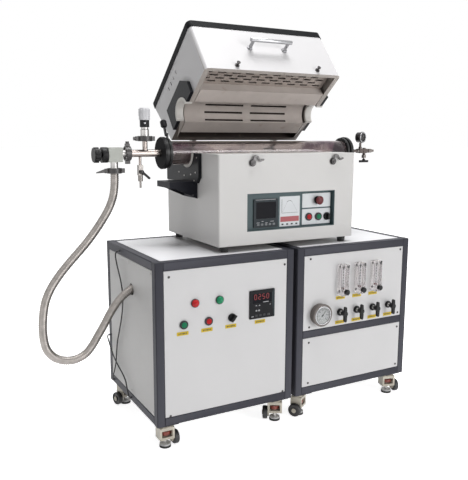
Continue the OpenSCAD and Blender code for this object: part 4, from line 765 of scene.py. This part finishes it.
def flow_scale(bm):
    """Scale marks on the three flow meters."""
    for i in range(3):
        x = FLOW_X + FLOW_PITCH * i
        for k in range(15):
            z = TOP - 150 + 5 * k
            w = 5 if k % 5 == 0 else 3
            bar(bm, (x + 6.5, -27.25, z), (x + 6.5 + w, -27.05, z + 0.7))
            if k % 2:
                bar(bm, (x - 12.5, -27.25, z), (x - 9.5, -27.05, z + 6.2))
        for a, b in ((x - 13, x - 7), (x + 5, x + 13)):
            bar(bm, (a, -27.3, TOP - 79), (b, -27.05, TOP - 71))


piece("flow_scales", "stand", "mark", flow_scale)


def flow_back(bm):
    """White strips behind the flow meters' tubes."""
    for i in range(3):
        x = FLOW_X + FLOW_PITCH * i
        bar(bm, (x - 3.2, -14.2, TOP - 156), (x + 3.2, -13.8, TOP - 80))


piece("flow_tubes", "stand", "white", flow_back)


def card_lines(bm):
    """Ramp line of a heating curve on the card."""
    y = TRAY_Y - 1.1
    x0, z0 = FX + 243, FZ + 50
    pts = [(12, 52), (30, 84), (36, 88), (44, 88), (50, 84), (70, 52)]
    for (a, b), (c, d) in zip(pts, pts[1:]):
        for k in range(12):
            px, pz = a + (c - a) * k / 11, b + (d - b) * k / 11
            bar(bm, (x0 + px - 0.5, y - 0.25, z0 + pz - 0.5), (x0 + px + 0.5, y, z0 + pz + 0.5))
    bar(bm, (x0 + 8, y - 0.25, z0 + 46), (x0 + 74, y, z0 + 47))
    bar(bm, (x0 + 8, y - 0.25, z0 + 46), (x0 + 9, y, z0 + 94))


piece("card_curve", "stand", "key", card_lines)
piece("card_band", "stand", "band",
      lambda bm: bar(bm, (FX + 246, FY + 16.6, FZ + 66), (FX + 322, FY + 16.9, FZ + 84)))


def card_marks(bm):
    """A row of small dark figures under the card's band."""
    for k in range(4):
        bar(bm, (FX + 251 + 19 * k, FY + 16.6, FZ + 55), (FX + 259 + 19 * k, FY + 16.9, FZ + 60))


piece("card_marks", "stand", "mark", card_marks)


def controller_print(bm):
    """Short pale strokes in place of words on the controller."""
    for x, z, w in ((FX + 150, FZ + 68, 12), (FX + 170, FZ + 72, 7), (FX + 184, FZ + 67, 9),
                    (FX + 204, FZ + 71, 14), (FX + 146, FZ + 145, 78)):
        bar(bm, (x, FY + 13.75, z), (x + w, FY + 13.95, z + 1.8))


piece("controller_print", "stand", "print", controller_print)


def screws(bm):
    """Screws of the cabinets' side and rear sheets."""
    for x in (0, RIGHT):
        for y, z in ((40, 127), (40, 572), (430, 127), (430, 572), (235, 572), (235, 127)):
            for sx in (x + 0.6, x + 499.4):
                disc(bm, (sx, y, z), 4, 1.6, axis="X", segments=16, bevel=0.5)
        for px in (40, 250, 460):
            for z in (127, 572):
                disc(bm, (x + px, 469.4, z), 4, 1.6, segments=16, bevel=0.5)


piece("panel_screws", "stand", "steel_dull", screws)


def plate_screws(bm):
    """Screws of the end plates."""
    for y, z in ((186, 916), (196, 866), (206, 838), (232, 858), (286, 852), (330, 862),
                 (352, 905)):
        for x in (FX - 12.4, FX + 557.4):
            disc(bm, (x, y, z), 3, 1.6, axis="X", segments=12, bevel=0.4)


piece("plate_screws", "stand", "steel_dull", plate_screws)


def crown(bm):
    """Ribs round the sensor's cap and the small button on its ring."""
    for k in range(12):
        a = 2 * math.pi * k / 12
        disc(bm, (75 + 17.4 * math.cos(a), 260 + 17.4 * math.sin(a), 1062), 1.8, 24, axis="Z",
             segments=8)
    disc(bm, (69, 240.4, 1028), 3, 2, segments=12)


piece("sensor_ribs", "stand", "pale_plastic", crown)


# ---- Floor, world and light ----
bpy.context.scene.view_settings.view_transform = "Standard"


def background_rays(n, link):
    """1 for the camera, transmission and glossy rays, which see the white background, else 0."""
    path = n.new("ShaderNodeLightPath")
    out = path.outputs["Is Camera Ray"]
    for ray in ("Is Transmission Ray", "Is Glossy Ray"):
        either = n.new("ShaderNodeMath")
        either.operation = "MAXIMUM"
        link(out, either.inputs[0])
        link(path.outputs[ray], either.inputs[1])
        out = either.outputs[0]
    return out


def stage_material():
    """The floor's finish, which glows only for the rays that see the white background."""
    m = bpy.data.materials.new("floor_pale")
    m.use_nodes = True
    n, link = m.node_tree.nodes, m.node_tree.links.new
    bsdf = n["Principled BSDF"]
    bsdf.inputs["Base Color"].default_value = (0.9, 0.9, 0.9, 1)
    bsdf.inputs["Roughness"].default_value = 0.9
    bsdf.inputs["Specular IOR Level"].default_value = 0.1
    glow = n.new("ShaderNodeEmission")
    glow.inputs["Color"].default_value = (1, 1, 1, 1)
    glow.inputs["Strength"].default_value = 0.84
    mix = n.new("ShaderNodeAddShader")
    only = n.new("ShaderNodeMixShader")
    link(background_rays(n, link), only.inputs["Fac"])
    black = n.new("ShaderNodeEmission")
    black.inputs["Strength"].default_value = 0
    link(black.outputs[0], only.inputs[1])
    link(glow.outputs[0], only.inputs[2])
    link(bsdf.outputs[0], mix.inputs[0])
    link(only.outputs[0], mix.inputs[1])
    link(mix.outputs[0], n["Material Output"].inputs["Surface"])
    return m


floor_mesh = bpy.data.meshes.new("floor")
floor_mesh.from_pydata([(-40, -40, 0), (40, -40, 0), (40, 40, 0), (-40, 40, 0)], [], [(0, 1, 2, 3)])
floor = bpy.data.objects.new("floor", floor_mesh)
floor_mesh.materials.append(stage_material())
bpy.context.scene.collection.objects.link(floor)

world = bpy.data.worlds.new("studio")
bpy.context.scene.world = world
world.use_nodes = True
wn, wl = world.node_tree.nodes, world.node_tree.links.new
soft = wn["Background"]
soft.inputs["Color"].default_value = (1, 1, 1, 1)
soft.inputs["Strength"].default_value = 0.19
white = wn.new("ShaderNodeBackground")
white.inputs["Color"].default_value = (1, 1, 1, 1)
white.inputs["Strength"].default_value = 1.0
pick = wn.new("ShaderNodeMixShader")
wl(background_rays(wn, wl), pick.inputs["Fac"])
wl(soft.outputs[0], pick.inputs[1])
wl(white.outputs[0], pick.inputs[2])
wl(pick.outputs[0], wn["World Output"].inputs["Surface"])


def lamp(name, at, aim, size, power):
    data = bpy.data.lights.new(name, "AREA")
    data.shape = "RECTANGLE"
    data.size, data.size_y = size
    data.energy = power
    o = bpy.data.objects.new(name, data)
    bpy.context.scene.collection.objects.link(o)
    o.location = at
    o.rotation_mode = "QUATERNION"
    o.rotation_quaternion = (Vector(aim) - Vector(at)).to_track_quat("-Z", "Y")


lamp("key", (3.0, -6.6, 2.0), (0, 0, 0.7), (3.6, 3.2), 222)
lamp("top", (0.4, -0.2, 6.0), (0, 0, 0.6), (3.0, 3.0), 330)
lamp("fill", (-5.0, -1.6, 1.2), (0, 0, 0.6), (2.6, 2.0), 18)
